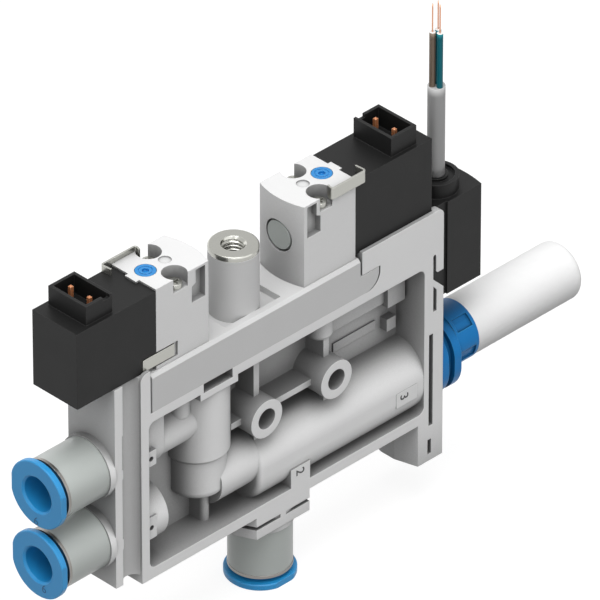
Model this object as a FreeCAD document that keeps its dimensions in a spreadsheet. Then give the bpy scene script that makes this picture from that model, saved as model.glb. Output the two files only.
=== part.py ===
"""Vacuum ejector: a slim moulded housing with its ejector stage, two solenoid valves on a
manifold bar, three push in fittings, a silencer and a pressure sensor with a short lead.

Millimetres. The origin lies midway between the two mounting holes, on the middle plane of the
housing. X runs from the fittings to the silencer, Z is up and the front looks against Y.
"""
import FreeCAD, Part
import math
import os
import Sketcher
from FreeCAD import Placement, Rotation, Vector

doc = FreeCAD.newDocument("VacuumEjector")
sheet = doc.addObject("Spreadsheet::Sheet", "Size")


class Size:
    """A length in millimetres together with the sheet expression that gives it."""

    def __init__(self, value, text):
        self.value = value
        self.text = text

    def __add__(self, other):
        return Size(self.value + number(other), f"({self.text} + {words(other)})")

    def __radd__(self, other):
        return Size(number(other) + self.value, f"({words(other)} + {self.text})")

    def __sub__(self, other):
        return Size(self.value - number(other), f"({self.text} - {words(other)})")

    def __rsub__(self, other):
        return Size(number(other) - self.value, f"({words(other)} - {self.text})")

    def __mul__(self, factor):
        return Size(self.value * number(factor), f"({self.text} * {words(factor)})")

    __rmul__ = __mul__

    def __truediv__(self, factor):
        return Size(self.value / number(factor), f"({self.text} / {words(factor)})")

    def __neg__(self):
        return Size(-self.value, f"(0 - {self.text})")


def number(length):
    """The value of a size or of a plain number."""
    return length.value if isinstance(length, Size) else float(length)


def words(length):
    """The expression of a size or of a plain number."""
    return length.text if isinstance(length, Size) else repr(float(length))


def tied(values):
    """Writes each driving dimension into the sheet and returns them all as sizes."""
    for row, (name, value) in enumerate(values.items(), start=1):
        sheet.set(f"A{row}", name.replace("_", " ").lower())
        sheet.set(f"B{row}", str(value))
        sheet.setAlias(f"B{row}", name.lower())
    return {name: Size(float(value), f"Size.{name.lower()}") for name, value in values.items()}


# Housing
DEPTH = 11.5  # housing, front to back
HOLE_PITCH = 15.66  # distance between the mounting holes
HOLE_RADIUS = 1.85  # mounting hole
BOSS_RADIUS = 3.45  # mounting boss
FRAME_LEFT = 35.6  # origin to the left flange
FRAME_RIGHT = 32.1  # origin to the right end
FRAME_BOTTOM = 18.35  # origin down to the underside
FRAME_TOP = 21.7  # origin up to the top of the flanges
BOTTOM_BAR = 2.05  # height of the bottom bar
WINDOW_TOP = 11.8  # origin up to the top of the window
RAIL = 1.75  # rail under the manifold
LEFT_RIM = 1.7  # frame left of the window
RIGHT_RIM = 4.3  # frame right of the window
WINDOW_CORNER = 1.3  # radius of the window corners
NOTCH_CORNER = 2.9  # radius round the bar's tongue
WEB = 1.5  # web
WEB_FRONT = 0.75  # middle plane back to the front of the web
RIB = 1.2  # thin ribs
RIB_FRONT = 3.4  # middle plane to the front of the ribs
LEDGE_DROP = 6.75  # ledge on the web, down from the window's top
BLOCK_REACH = 5.3  # left block beyond the flange
BLOCK_DEPTH = 10.6  # left block, front to back
BLOCK_BOTTOM = 16.8  # origin down to the left block's underside
GROOVE_RADIUS = 1.8  # hollow beside the left flange
GROOVE_DEPTH = 1.4  # depth of that hollow
SLIT = 0.75  # width of the slits
SLIT_DEPTH = 1.6  # depth of the slits
PLATE_SLOT = 1.2  # depth of the slots in the port plate
COLLAR_RADIUS = 5.6  # collar round a fitting
COLLAR_HEIGHT = 1.2  # height of that collar
FOOT_DROP = 8.0  # right foot below the frame
FLANGE = 1.4  # flanges that hold the sensor
FLANGE_REACH = 1.4  # flanges beyond the end wall
PORT_RISE = 4.75  # origin up to the upper fitting
PORT_DROP = 8.8  # origin down to the ejector axis
VACUUM_X = 3.75  # origin left to the vacuum port
VACUUM_FACE = 23.6  # origin down to the vacuum port's face
PLATE_DROP = 4.2  # port plate below the frame
CHAMBER_RADIUS = 5.7  # exhaust chamber, end radius
CHAMBER_TOP = 9.6  # origin down to its upper centre
CHAMBER_STRETCH = 1.9  # upper to lower centre
CHAMBER_START = 9.35  # origin left to the chamber's end
END_ROUND = 1.0  # rounded rim of the chamber's end
NOZZLE_TUBE = 5.2  # tube round the jet nozzle
STUB_END = 29.2  # origin left to the end of the stubs
STUB_RADIUS = 4.3  # round stub at the upper port
CHANNEL_RADIUS = 4.1  # channel of the upper port
STANDPIPE_X = 18.0  # origin left to the vertical chamber
STANDPIPE_RADIUS = 4.95  # vertical chamber, lower part
STANDPIPE_COLLAR = 5.5  # vertical chamber, upper part
STANDPIPE_STEP = 2.6  # origin down to the step between them
STANDPIPE_END = 10.4  # origin down to the chamber's end

# Manifold bar and valves
BAR_HEIGHT = 7.0  # manifold bar
BAR_RIGHT = 13.2  # origin to the bar's upper right end
BAR_EDGE = 0.5  # chamfer along the bar's upper edges
BAR_RECESS = 1.2  # hollows beside the boss of the bush
TONGUE = 4.2  # bar's tongue beyond that end
TONGUE_HEIGHT = 3.7  # height of the tongue
TONGUE_CORNER = 3.0  # rounded corner of the tongue
GAP = 0.4  # gap between the bar and the left flange
FIT = 0.1  # clearance between neighbouring mouldings
VALVE_CENTRE = 9.32  # origin left to the middle of both valves
VALVE_WIDTH = 10.0  # valves, front to back
VALVE_INNER = 10.6  # middle to a valve's inner corners
VALVE_BULGE = 0.95  # rise of the inner face's curve
VALVE_OUTER = 22.08  # middle to the solenoid
VALVE_HEIGHT = 15.35  # valve body
SOLENOID_END = 39.3  # middle to the solenoid's end
SOLENOID_LIFT = 0.82  # solenoid above the manifold bar
SOLENOID_HEIGHT = 14.18  # solenoid
SHROUD_START = 30.85  # middle to the plug shroud
SHROUD_LENGTH = 5.65  # plug shroud along the valve
SHROUD_WIDTH = 8.5  # plug shroud across the valve
SHROUD_HEIGHT = 3.55  # plug shroud
SHROUD_WALL = 0.55  # wall of the shroud
PIN_PITCH = 4.2  # distance between the contact pins
PIN_WIDTH = 0.64  # contact pins
PIN_RISE = 3.3  # contact pins above the solenoid
PIN_ROOT = 1.6  # contact pins inside the solenoid
OVERRIDE_X = 19.5  # middle to the manual override
OVERRIDE_RADIUS = 1.72  # manual override
OVERRIDE_LENGTH = 4.2  # manual override
OVERRIDE_ROOM = 0.9  # room under the manual override
MARK_X = 15.25  # middle to the round mark
MARK_RADIUS = 1.1  # round mark on the valve
SCREW_HEAD = 1.25  # head radius of the valve screws
SCREW_THICK = 0.9  # head of the valve screws
SCREW_SHANK = 0.75  # shank radius of the valve screws
SCREW_SINK = 1.7  # valve top down to the screw heads
WELL_RADIUS = 2.1  # wells of the valve screws
SCREW_BITE = 4.0  # screws inside the manifold bar
PLUG_RADIUS = 2.8  # end plug of a valve
PLUG_LENGTH = 2.6  # end plug of a valve
PLUG_DROP = 7.25  # valve top down to the end plug
SPOOL_BORE = 2.1  # bore of the valve spool
SEAL_WIDTH = 4.6  # valve seal, front to back
SEAL_START = 12.2  # middle to the valve seal
SEAL_LENGTH = 8.4  # valve seal
SEAL = 0.7  # valve seal's thickness
CLIP = 0.35  # sheet of the clips
LOW_CLIP_START = 18.1  # middle to the lower clip
LOW_CLIP_LENGTH = 6.9  # lower clip
LOW_CLIP_LIFT = 0.95  # lower clip above the bar
LOW_CLIP_HEIGHT = 2.2  # lower clip
TOP_CLIP_START = 16.45  # middle to the upper clip
TOP_CLIP_LENGTH = 7.85  # upper clip
TOP_CLIP_HEIGHT = 2.2  # upper clip
TOP_CLIP_RISE = 0.9  # upper clip above the valve
TOP_CLIP_HOOK = 2.0  # upper clip's end bent over the solenoid
BUSH_X = 9.5  # origin left to the threaded bush
BUSH_RADIUS = 4.15  # threaded bush and its boss
BUSH_RISE = 11.25  # bush top above the manifold bar
BUSH_RIM = 0.9  # rim of the bush
BUSH_SLEEVE = 3.2  # sleeve of the bush
BUSH_DEPTH = 9.0  # threaded length of the bush
BUSH_MOUTH = 2.05  # chamfered mouth of the bush
THREAD_RADIUS = 1.65  # thread of the bush, at its crests

# Fittings
FITTING_RADIUS = 5.33  # fitting body
FITTING_LENGTH = 8.4  # fitting body beyond its collar
FITTING_PLUG = 3.2  # fitting inside the housing
SOCKET_RADIUS = 3.6  # socket in the housing
FITTING_ROOM = 4.75  # inner room of the fitting
TUBE_RADIUS = 3.0  # tube that the fitting takes
PASSAGE_RADIUS = 2.4  # passage behind the tube
STEM_RADIUS = 3.95  # stem of the release ring
RING_RADIUS = 6.0  # release ring
RING_FLATS = 11.3  # release ring across its flats
RING_THICK = 1.15  # flange of the release ring
RING_GAP = 0.8  # flange above the metal ring
MOUTH = 0.35  # funnel of the release ring
METAL_RING = 0.55  # metal end ring
RUNNING = 0.08  # running clearance

# Ejector stage
SUCTION_RADIUS = 3.3  # bore above the vacuum port
JET_RADIUS = 2.4  # jet nozzle
JET_START = 13.0  # origin left to the jet nozzle's back
JET_SEAT = 7.5  # origin left to the end of its seat
JET_TIP = 4.8  # origin left to the nozzle's tip
JET_THROAT = 0.6  # throat of the jet nozzle
RECEIVER_RADIUS = 3.2  # receiver nozzle
RECEIVER_START = 2.6  # origin left to the receiver nozzle
RECEIVER_END = 8.0  # origin to the receiver nozzle's end
RECEIVER_THROAT = 1.0  # throat of the receiver nozzle
EXHAUST_RADIUS = 4.3  # exhaust bore
SUPPLY_RADIUS = 1.6  # supply bore
STANDPIPE_BORE = 2.6  # bore of the vertical chamber
FILTER_THICK = 2.6  # vacuum filter
DISC_THICK = 0.8  # check valve disc

# Silencer and sensor
RIM_RADIUS = 5.7  # rims of the silencer adapter
RIM_THICK = 1.55  # rims of the silencer adapter
GROOVE = 1.3  # groove between the rims
SLEEVE_LENGTH = 4.5  # sleeve of the adapter
SPIGOT = 6.0  # adapter inside the housing
SILENCER_RADIUS = 5.17  # silencer
SILENCER_LENGTH = 24.5  # silencer beyond its adapter
SILENCER_BORE = 2.6  # inside of the silencer
SENSOR_START = 34.1  # origin to the sensor's wide part
SENSOR_END = 42.3  # origin to the sensor's end
SENSOR_BULGE = 0.5  # rise of the sensor's end face
SENSOR_WIDTH = 9.2  # sensor, front to back
SENSOR_BOTTOM = 3.4  # origin up to the sensor's underside
SENSOR_TOP = 21.2  # origin up to the sensor's top
CABLE_X = 36.0  # origin to the lead
GLAND_RADIUS = 3.8  # gland of the sensor
GLAND_HEIGHT = 2.6  # gland of the sensor
CABLE_RADIUS = 1.46  # jacket of the lead
JACKET_LENGTH = 16.2  # jacket above the gland
CORE_RADIUS = 0.52  # cores of the lead
CORE_PITCH = 0.72  # lead's middle to the middle of a core
CORE_LENGTH = 10.6  # bare length of the cores
STRAND_RADIUS = 0.2  # bare strands
STRAND_LENGTH = 5.6  # bare strands

globals().update(tied({name: value for name, value in globals().items()
                       if name.isupper() and isinstance(value, float)}))

# Places worked out from the sizes
HALF = DEPTH / 2
HOLE_X = HOLE_PITCH / 2
WINDOW_LEFT = FRAME_LEFT - LEFT_RIM
WINDOW_RIGHT = FRAME_RIGHT - RIGHT_RIM
WINDOW_BOTTOM = FRAME_BOTTOM - BOTTOM_BAR
BAR_BOTTOM = WINDOW_TOP + RAIL
BAR_TOP = BAR_BOTTOM + BAR_HEIGHT
BAR_LEFT = FRAME_LEFT - LEFT_RIM - 0.85
TONGUE_END = BAR_RIGHT + TONGUE
SOLENOID_BOTTOM = BAR_TOP + SOLENOID_LIFT
SOLENOID_TOP = SOLENOID_LIFT + SOLENOID_HEIGHT
VALVE_TOP = BAR_TOP + VALVE_HEIGHT
PLUG_RISE = VALVE_HEIGHT - PLUG_DROP
BLOCK_FACE = FRAME_LEFT + BLOCK_REACH
COLLAR_FACE = BLOCK_FACE + COLLAR_HEIGHT
END_WALL = FRAME_RIGHT - FLANGE_REACH
RING_FACE = FITTING_LENGTH + METAL_RING + RING_GAP
SCREWS = [(16.7, 3.6), (15.5, -3.4)]
PORTS = [(0, -PORT_DROP), (0, PORT_RISE)]
UP = Rotation()
ALONG = Rotation(Vector(0, 1, 0), 90)
BACKWARD = Rotation(Vector(0, 1, 0), -90)
DOWN = Rotation(Vector(1, 0, 0), 180)
HALF_TURN = Rotation(Vector(0, 0, 1), 180)


def bind(thing, path, length):
    """Ties one property of an object to the sheet."""
    if isinstance(length, Size):
        thing.setExpression(path, length.text)


def place(thing, path, at, turn=UP):
    """Puts an object at a point worked out from the sheet, turned by a fixed rotation."""
    setattr(thing, path, Placement(Vector(*[number(c) for c in at]), turn))
    for axis, length in zip("xyz", at):
        bind(thing, f"{path}.Base.{axis}", length)


def hold(sketch, geometry, point, across, upward):
    """Holds a point of a sketch at its two distances from the sketch's origin."""
    for kind, length, axis in (("DistanceX", across, -2), ("DistanceY", upward, -1)):
        if number(length) == 0:
            sketch.addConstraint(Sketcher.Constraint("PointOnObject", geometry, point, axis))
            continue
        row = sketch.addConstraint(Sketcher.Constraint(kind, -1, 1, geometry, point, number(length)))
        bind(sketch, f"Constraints[{row}]", length)


def sized(sketch, geometry, radius):
    """Gives a circle or an arc of a sketch its radius."""
    row = sketch.addConstraint(Sketcher.Constraint("Radius", geometry, number(radius)))
    bind(sketch, f"Constraints[{row}]", radius)


def outline(sketch, points):
    """Draws a closed outline of straight runs through points given as pairs of sizes."""
    first = sketch.GeometryCount
    spots = [Vector(number(a), number(b), 0) for a, b in points]
    for k, spot in enumerate(spots):
        sketch.addGeometry(Part.LineSegment(spot, spots[(k + 1) % len(spots)]), False)
    for k, (across, upward) in enumerate(points):
        follower = first + (k + 1) % len(points)
        sketch.addConstraint(Sketcher.Constraint("Coincident", first + k, 2, follower, 1))
        hold(sketch, first + k, 1, across, upward)


def rectangle(sketch, left, right, low, high):
    """Draws a rectangle between two places across and two places up."""
    outline(sketch, [(left, low), (right, low), (right, high), (left, high)])


def circle(sketch, across, upward, radius):
    """Draws a circle about a held centre."""
    middle = Vector(number(across), number(upward), 0)
    row = sketch.addGeometry(Part.Circle(middle, Vector(0, 0, 1), number(radius)), False)
    hold(sketch, row, 3, across, upward)
    sized(sketch, row, radius)


def obround(sketch, across, low, high, radius):
    """Draws an upright slot with round ends about two held centres."""
    x, r = number(across), number(radius)
    arcs = []
    for level, start in ((number(high), 0), (number(low), math.pi)):
        whole = Part.Circle(Vector(x, level, 0), Vector(0, 0, 1), r)
        arcs.append(sketch.addGeometry(Part.ArcOfCircle(whole, start, start + math.pi), False))
    sides = []
    for side, ends in ((-1, (high, low)), (1, (low, high))):
        spots = [Vector(x + side * r, number(level), 0) for level in ends]
        sides.append(sketch.addGeometry(Part.LineSegment(*spots), False))
    upper, lower = arcs
    left, right = sides
    for a, b in ((upper, left), (left, lower), (lower, right), (right, upper)):
        sketch.addConstraint(Sketcher.Constraint("Tangent", a, 2, b, 1))
    hold(sketch, upper, 3, across, high)
    hold(sketch, lower, 3, across, low)
    sized(sketch, upper, radius)


def bulged(sketch, inner, outer, half, rise, outward=False):
    """Draws a plan whose short side curves by a rise over its half width."""
    radius = (rise * rise + half * half) / (rise * 2)
    spread = math.asin(number(half) / number(radius))
    depth = number(radius) - number(rise)
    side = 1 if outward else -1
    near, far = (outer, inner) if outward else (inner, outer)
    middle = Vector(number(near) - side * depth, 0, 0)
    whole = Part.Circle(middle, Vector(0, 0, 1), number(radius))
    start = -spread if outward else math.pi - spread
    sketch.addGeometry(Part.ArcOfCircle(whole, start, start + 2 * spread), False)
    first = half if outward else -half
    spots = [(near, first), (far, first), (far, -first), (near, -first)]
    for k in range(3):
        a, b = [Vector(number(p[0]), number(p[1]), 0) for p in spots[k:k + 2]]
        sketch.addGeometry(Part.LineSegment(a, b), False)
        hold(sketch, k + 1, 1, *spots[k])
    hold(sketch, 3, 2, *spots[3])
    for a, b in ((0, 1), (1, 2), (2, 3), (3, 0)):
        sketch.addConstraint(Sketcher.Constraint("Coincident", a, 2, b, 1))
    sized(sketch, 0, radius)


class Piece:
    """One named piece of the ejector, built up from sketches on its own origin planes."""

    def __init__(self, name, at=(0, 0, 0), turn=UP):
        self.body = doc.addObject("PartDesign::Body", name)
        self.body.Label = name
        self.body.AllowCompound = True
        self.planes = {plane.Role: plane for plane in self.body.Origin.OriginFeatures}
        place(self.body, "Placement", at, turn)
        pieces.append(self.body)

    def sketch(self, plane, offset=0, across=0):
        """A sketch on an origin plane, moved along the plane's normal and across the plane."""
        drawing = self.body.newObject("Sketcher::SketchObject", f"{self.body.Name}_sketch")
        drawing.AttachmentSupport = [(self.planes[f"{plane}_Plane"], "")]
        drawing.MapMode = "FlatFace"
        place(drawing, "AttachmentOffset", (across, 0, offset))
        return drawing

    def feature(self, kind, drawing, length, both=False, back=False):
        """A pad or a pocket of a sketch: a pad along the normal, a pocket against it."""
        step = self.body.newObject(f"PartDesign::{kind}", f"{self.body.Name}_{kind}")
        step.Profile = drawing
        step.SideType = "Symmetric" if both else "One side"
        step.Reversed = back
        step.Length = number(length)
        bind(step, "Length", length)

    def pad(self, drawing, length, both=False, back=False):
        """Adds a sketch's outline over a length."""
        self.feature("Pad", drawing, length, both, back)

    def pocket(self, drawing, length, both=False, back=False):
        """Removes a sketch's outline over a length."""
        self.feature("Pocket", drawing, length, both, back)

    def turned(self, points, across=0, offset=0):
        """A solid of revolution about an upright axis, at first the local Z axis."""
        drawing = self.sketch("XZ", offset, across)
        outline(drawing, points)
        step = self.body.newObject("PartDesign::Revolution", f"{self.body.Name}_Revolution")
        step.Profile = drawing
        step.ReferenceAxis = (drawing, ["V_Axis"])
        step.Angle = 360

    def discs(self, plane, offset, length, radius, spots, **how):
        """Round bosses of one radius, or holes with cut, at several places of a plane."""
        drawing = self.sketch(plane, offset)
        for across, upward in spots:
            circle(drawing, across, upward, radius)
        kind = "Pocket" if how.pop("cut", False) else "Pad"
        self.feature(kind, drawing, length, **how)

    def blocks(self, plane, offset, length, spans, **how):
        """Rectangular blocks, or recesses with cut, given by left, right, low and high."""
        drawing = self.sketch(plane, offset)
        for span in spans:
            rectangle(drawing, *span)
        kind = "Pocket" if how.pop("cut", False) else "Pad"
        self.feature(kind, drawing, length, **how)

    def soften(self, names, radius, kind):
        """Rounds or chamfers the named edges of the newest shape."""
        base = self.body.Tip
        step = self.body.newObject(f"PartDesign::{kind}", f"{self.body.Name}_{kind}")
        step.Base = (base, names)
        path = "Radius" if kind == "Fillet" else "Size"
        setattr(step, path, number(radius))
        bind(step, path, radius)

    def round_rims(self, points, radius, kind="Fillet"):
        """Rounds, or chamfers, the edges that pass through the given points."""
        doc.recompute()
        spots = [Part.Vertex(Vector(*[number(c) for c in point])) for point in points]
        names = [f"Edge{index}" for index, edge in enumerate(self.body.Tip.Shape.Edges, 1)
                 if any(edge.distToShape(spot)[0] < 0.02 for spot in spots)]
        self.soften(names, radius, kind)

    def round_edges(self, axis, places, radius, kind="Fillet"):
        """Rounds, or chamfers, the edges along an axis that stand at the given places."""
        doc.recompute()
        names = []
        for index, edge in enumerate(self.body.Tip.Shape.Edges, 1):
            ends = [vertex.Point for vertex in edge.Vertexes]
            run = ends[-1] - ends[0]
            if run.Length == 0 or abs(run[axis]) < 0.999 * run.Length:
                continue
            spot = [c for k, c in enumerate(ends[0]) if k != axis]
            near = [all(abs(s - number(p)) < 0.02 for s, p in zip(spot, goal)) for goal in places]
            if any(near):
                names.append(f"Edge{index}")
        self.soften(names, radius, kind)


pieces = []


def housing():
    """The white moulding: block, frame, web, chambers, bosses, pillar, foot and port plate."""
    piece = Piece("housing")

    # Frame and its rounded corners
    drawing = piece.sketch("XZ")
    notch = BAR_RIGHT + GAP
    tongue_top = BAR_BOTTOM + TONGUE_HEIGHT + FIT
    tongue_end = TONGUE_END + FIT * 3
    left = -(FRAME_LEFT - LEFT_RIM - 0.45)
    outline(drawing, [(-FRAME_LEFT, -FRAME_BOTTOM), (FRAME_RIGHT, -FRAME_BOTTOM), (FRAME_RIGHT, FRAME_TOP),
                      (notch, FRAME_TOP), (notch, tongue_top), (tongue_end, tongue_top),
                      (tongue_end, BAR_BOTTOM), (left, BAR_BOTTOM), (left, FRAME_TOP),
                      (-FRAME_LEFT, FRAME_TOP)])
    piece.pad(drawing, DEPTH, both=True)
    piece.round_edges(1, [(tongue_end, BAR_BOTTOM)], NOTCH_CORNER)
    piece.round_edges(1, [(FRAME_RIGHT, FRAME_TOP), (-FRAME_LEFT, FRAME_TOP)], WINDOW_CORNER)
    span = [(-WINDOW_LEFT, WINDOW_RIGHT, -WINDOW_BOTTOM, WINDOW_TOP)]
    piece.blocks("XZ", -WEB_FRONT, HALF + WEB_FRONT, span, cut=True, back=True)
    piece.blocks("XZ", -(WEB_FRONT + WEB), HALF, span, cut=True)
    corners = [(x, z) for x in (-WINDOW_LEFT, WINDOW_RIGHT) for z in (-WINDOW_BOTTOM, WINDOW_TOP)]
    piece.round_edges(1, corners, WINDOW_CORNER)

    # Left block with its hollows and slits, and the seat of the valves
    hollow = BLOCK_DEPTH / 2 + GROOVE_RADIUS - GROOVE_DEPTH
    groove_x = -(FRAME_LEFT + GROOVE_RADIUS)
    piece.blocks("XZ", 0, BLOCK_DEPTH,
                 [(-BLOCK_FACE, -(FRAME_LEFT - 1), -BLOCK_BOTTOM, SOLENOID_BOTTOM)], both=True)
    slit_x = -(FRAME_LEFT + 3)
    for side in (1, -1):
        piece.discs("XY", SOLENOID_BOTTOM + 1, BLOCK_BOTTOM + SOLENOID_BOTTOM + 2, GROOVE_RADIUS,
                    [(groove_x, hollow * side)], cut=True)
        piece.blocks("XZ", BLOCK_DEPTH / 2 * side, SLIT_DEPTH - 0.3,
                     [(slit_x - SLIT, slit_x, 5.4, 11.9), (slit_x - SLIT, slit_x, -7.9, 3.6),
                      (slit_x - SLIT, slit_x, -BLOCK_BOTTOM - 1, -9.9)], cut=True, back=side < 0)
    seat = VALVE_WIDTH / 2 + FIT
    piece.blocks("XY", FRAME_TOP + 1, FRAME_TOP + 1 - SOLENOID_BOTTOM,
                 [(-(FRAME_LEFT + 1), -(BAR_LEFT - 1), -seat, seat),
                  (BAR_RIGHT, SOLENOID_END - VALVE_CENTRE + FIT, -seat, seat)], cut=True)

    # Exhaust chamber with a rounded end
    drawing = piece.sketch("YZ", -CHAMBER_START)
    obround(drawing, 0, -(CHAMBER_TOP + CHAMBER_STRETCH), -CHAMBER_TOP, CHAMBER_RADIUS)
    piece.pad(drawing, CHAMBER_START + WINDOW_RIGHT + 1)
    slant = CHAMBER_RADIUS * math.sqrt(0.5)
    low = CHAMBER_TOP + CHAMBER_STRETCH
    rim = []
    for side in (1, -1):
        rim += [(-CHAMBER_START, CHAMBER_RADIUS * side, -(CHAMBER_TOP + CHAMBER_STRETCH / 2)),
                (-CHAMBER_START, slant * side, slant - CHAMBER_TOP), (-CHAMBER_START, slant * side, -slant - low)]
    piece.round_rims(rim, END_ROUND)

    # Jet tube, stubs and the turned vertical chamber
    piece.discs("YZ", 0.7 - STANDPIPE_X, STANDPIPE_X - CHAMBER_START, NOZZLE_TUBE, [(0, -PORT_DROP)])
    wall = WINDOW_LEFT + 1
    piece.discs("YZ", -wall, wall - STUB_END, NOZZLE_TUBE, [(0, -PORT_DROP)])
    piece.discs("YZ", -wall, wall - STUB_END, STUB_RADIUS, [(0, PORT_RISE)])
    piece.blocks("YZ", -wall, wall - STUB_END, [(-STUB_RADIUS, STUB_RADIUS, PORT_RISE, WINDOW_TOP + 0.5)])
    piece.discs("YZ", -(STUB_END + 1), STUB_END + 1 - STANDPIPE_X, CHANNEL_RADIUS, [(0, PORT_RISE)])
    piece.turned([(0, WINDOW_TOP + 0.5), (STANDPIPE_COLLAR, WINDOW_TOP + 0.5),
                  (STANDPIPE_COLLAR, -STANDPIPE_STEP), (STANDPIPE_RADIUS, -STANDPIPE_STEP - 0.7),
                  (STANDPIPE_RADIUS, 1.2 - STANDPIPE_END), (STANDPIPE_RADIUS - 0.15, 0.65 - STANDPIPE_END),
                  (STANDPIPE_RADIUS - 0.55, 0.2 - STANDPIPE_END), (STANDPIPE_RADIUS - 1.2, -STANDPIPE_END),
                  (0, -STANDPIPE_END)], -STANDPIPE_X)

    # Mounting bosses and ribs
    holes = [(-HOLE_X, 0), (HOLE_X, 0)]
    piece.discs("XZ", 0, DEPTH, BOSS_RADIUS, holes, both=True)
    root = BOSS_RADIUS - 0.5
    half = RIB / 2
    spans = [(-HOLE_X + root, HOLE_X - root, -half, half),
             (-(STANDPIPE_X - STANDPIPE_COLLAR + 1), -HOLE_X - root, -half, half)]
    for x, _ in holes:
        spans += [(x - half, x + half, root, WINDOW_TOP + 0.5), (x - half, x + half, -5.6, -root)]
    piece.blocks("XZ", 0, RIB_FRONT * 2, spans, both=True)
    floor = WINDOW_BOTTOM + 0.5
    piece.blocks("XY", -floor, floor - STANDPIPE_END + 1,
                 [(-STANDPIPE_X - 0.9, -STANDPIPE_X + 0.9, -1.6, 4.6)])
    piece.discs("XY", -floor, floor - STANDPIPE_END + 1, 0.9, [(-STANDPIPE_X, -1.6), (-STANDPIPE_X, 4.6)])

    # Round bosses that hang under the rail, the ledge and the small pads
    for x, radius, low in ((HOLE_X, 2.2, 6.7), (-23.7, 2.0, 6.4)):
        piece.turned([(0, WINDOW_TOP + 0.5), (radius, WINDOW_TOP + 0.5), (radius, low + 0.8),
                      (radius - 0.25, low + 0.3), (radius - 0.9, low), (0, low)], x, 1.8)
    piece.blocks("XZ", -WEB_FRONT, WEB_FRONT + 1,
                 [(HOLE_X, WINDOW_RIGHT + 0.5, WINDOW_TOP - LEDGE_DROP, WINDOW_TOP + 0.5)])
    piece.blocks("XZ", -WEB_FRONT, WEB_FRONT + 1.9,
                 [(23.3, 27.2, WINDOW_TOP - LEDGE_DROP - 0.6, WINDOW_TOP + 0.5)])
    piece.blocks("XZ", -WEB_FRONT, 0.3, [(13.3, 22.8, -0.5, 1.2)])
    piece.blocks("XZ", -WEB_FRONT, WEB_FRONT + 0.8, [(24.2, 26.2, -1.1, 1.2)])
    piece.blocks("XZ", 1.75, HALF - 1.75, [(-2.4, 1.9, -floor, -12.8)])
    piece.blocks("XZ", 3.5, HALF - 3.5, [(21.5, 26.2, -12.5, -9.7)])
    piece.blocks("XZ", -WEB_FRONT, WEB_FRONT + 5.2, [(-wall, -31.8, 2.9, 5.8), (-wall, -31.8, -11.1, -6.9)])
    piece.discs("XZ", 5.2, 1.5, 0.45, [(-32.9, 4.3), (-32.9, -9.0)], cut=True, back=False)
    piece.discs("XZ", 0, DEPTH + 2, HOLE_RADIUS, holes, both=True, cut=True)

    # Latch slot in the rail
    piece.blocks("XZ", -WEB_FRONT, HALF + WEB_FRONT, [(-22.5, -14.2, 10.5, WINDOW_TOP + 0.5)])
    piece.blocks("XZ", HALF - 2.5, 5, [(-21.8, -15.4, WINDOW_TOP, BAR_BOTTOM + 1)], cut=True, back=True)

    # Right end: sensor bay, foot, notch and slits
    piece.blocks("YZ", END_WALL, FLANGE_REACH + 1,
                 [(FLANGE - HALF, HALF - FLANGE, SENSOR_BOTTOM - 0.3, FRAME_TOP + 1)], cut=True, back=True)
    drawing = piece.sketch("XY", -FRAME_BOTTOM)
    foot = FRAME_RIGHT - 6.8
    outline(drawing, [(foot, -1.5), (foot + 1.2, -HALF), (FRAME_RIGHT, -HALF), (FRAME_RIGHT, HALF),
                      (foot + 1.2, HALF), (foot, 1.5)])
    piece.pad(drawing, FOOT_DROP, back=True)
    for side in (1, -1):
        piece.blocks("XZ", HALF * side, SLIT_DEPTH, [(28.9, 29.8, -19.5, -1.7), (28.7, 29.5, -25, -22.2)],
                     cut=True, back=side < 0)
        drawing = piece.sketch("XZ", HALF * side)
        beyond = FRAME_RIGHT + 1
        outline(drawing, [(29.75, 8.8), (beyond, 5.45), (beyond, 9.8), (30.75, 9.8), (30.4, 10.15),
                          (30.4, 13.2), (30.15, 13.45), (30, 13.45), (29.75, 13.2)])
        outline(drawing, [(29.8, 2.5), (30.55, 2.5), (30.55, 6.5), (29.8, 7.4)])
        piece.pocket(drawing, SLIT_DEPTH, back=side < 0)

    # Port plate, its slots and all collars
    drawing = piece.sketch("XY", -FRAME_BOTTOM)
    tail = -(VACUUM_X + 8.15)
    right = 5.53 - VACUUM_X
    outline(drawing, [(tail, -2.1), (tail + 1.8, -HALF), (right, -HALF), (right, HALF), (tail + 1.8, HALF),
                      (tail, 2.1)])
    piece.pad(drawing, PLATE_DROP, back=True)
    drawing = piece.sketch("XY", -20.1)
    inner = HALF - PLATE_SLOT
    for side in (1, -1):
        outline(drawing, [(-4.8, (HALF + 1) * side), (-4.8, inner * side), (tail + 2.4, inner * side),
                          (tail + 1.1, 2.1 * side), (tail - 1, 2.1 * side), (tail - 1, (HALF + 1) * side)])
        rectangle(drawing, -3.55, 2.5, inner * side, (HALF + 1) * side)
    piece.pocket(drawing, 0.65)
    piece.discs("YZ", -COLLAR_FACE, COLLAR_HEIGHT, COLLAR_RADIUS, PORTS)
    piece.discs("XY", -VACUUM_FACE, VACUUM_FACE - FRAME_BOTTOM, COLLAR_RADIUS, [(-VACUUM_X, 0)])

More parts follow.
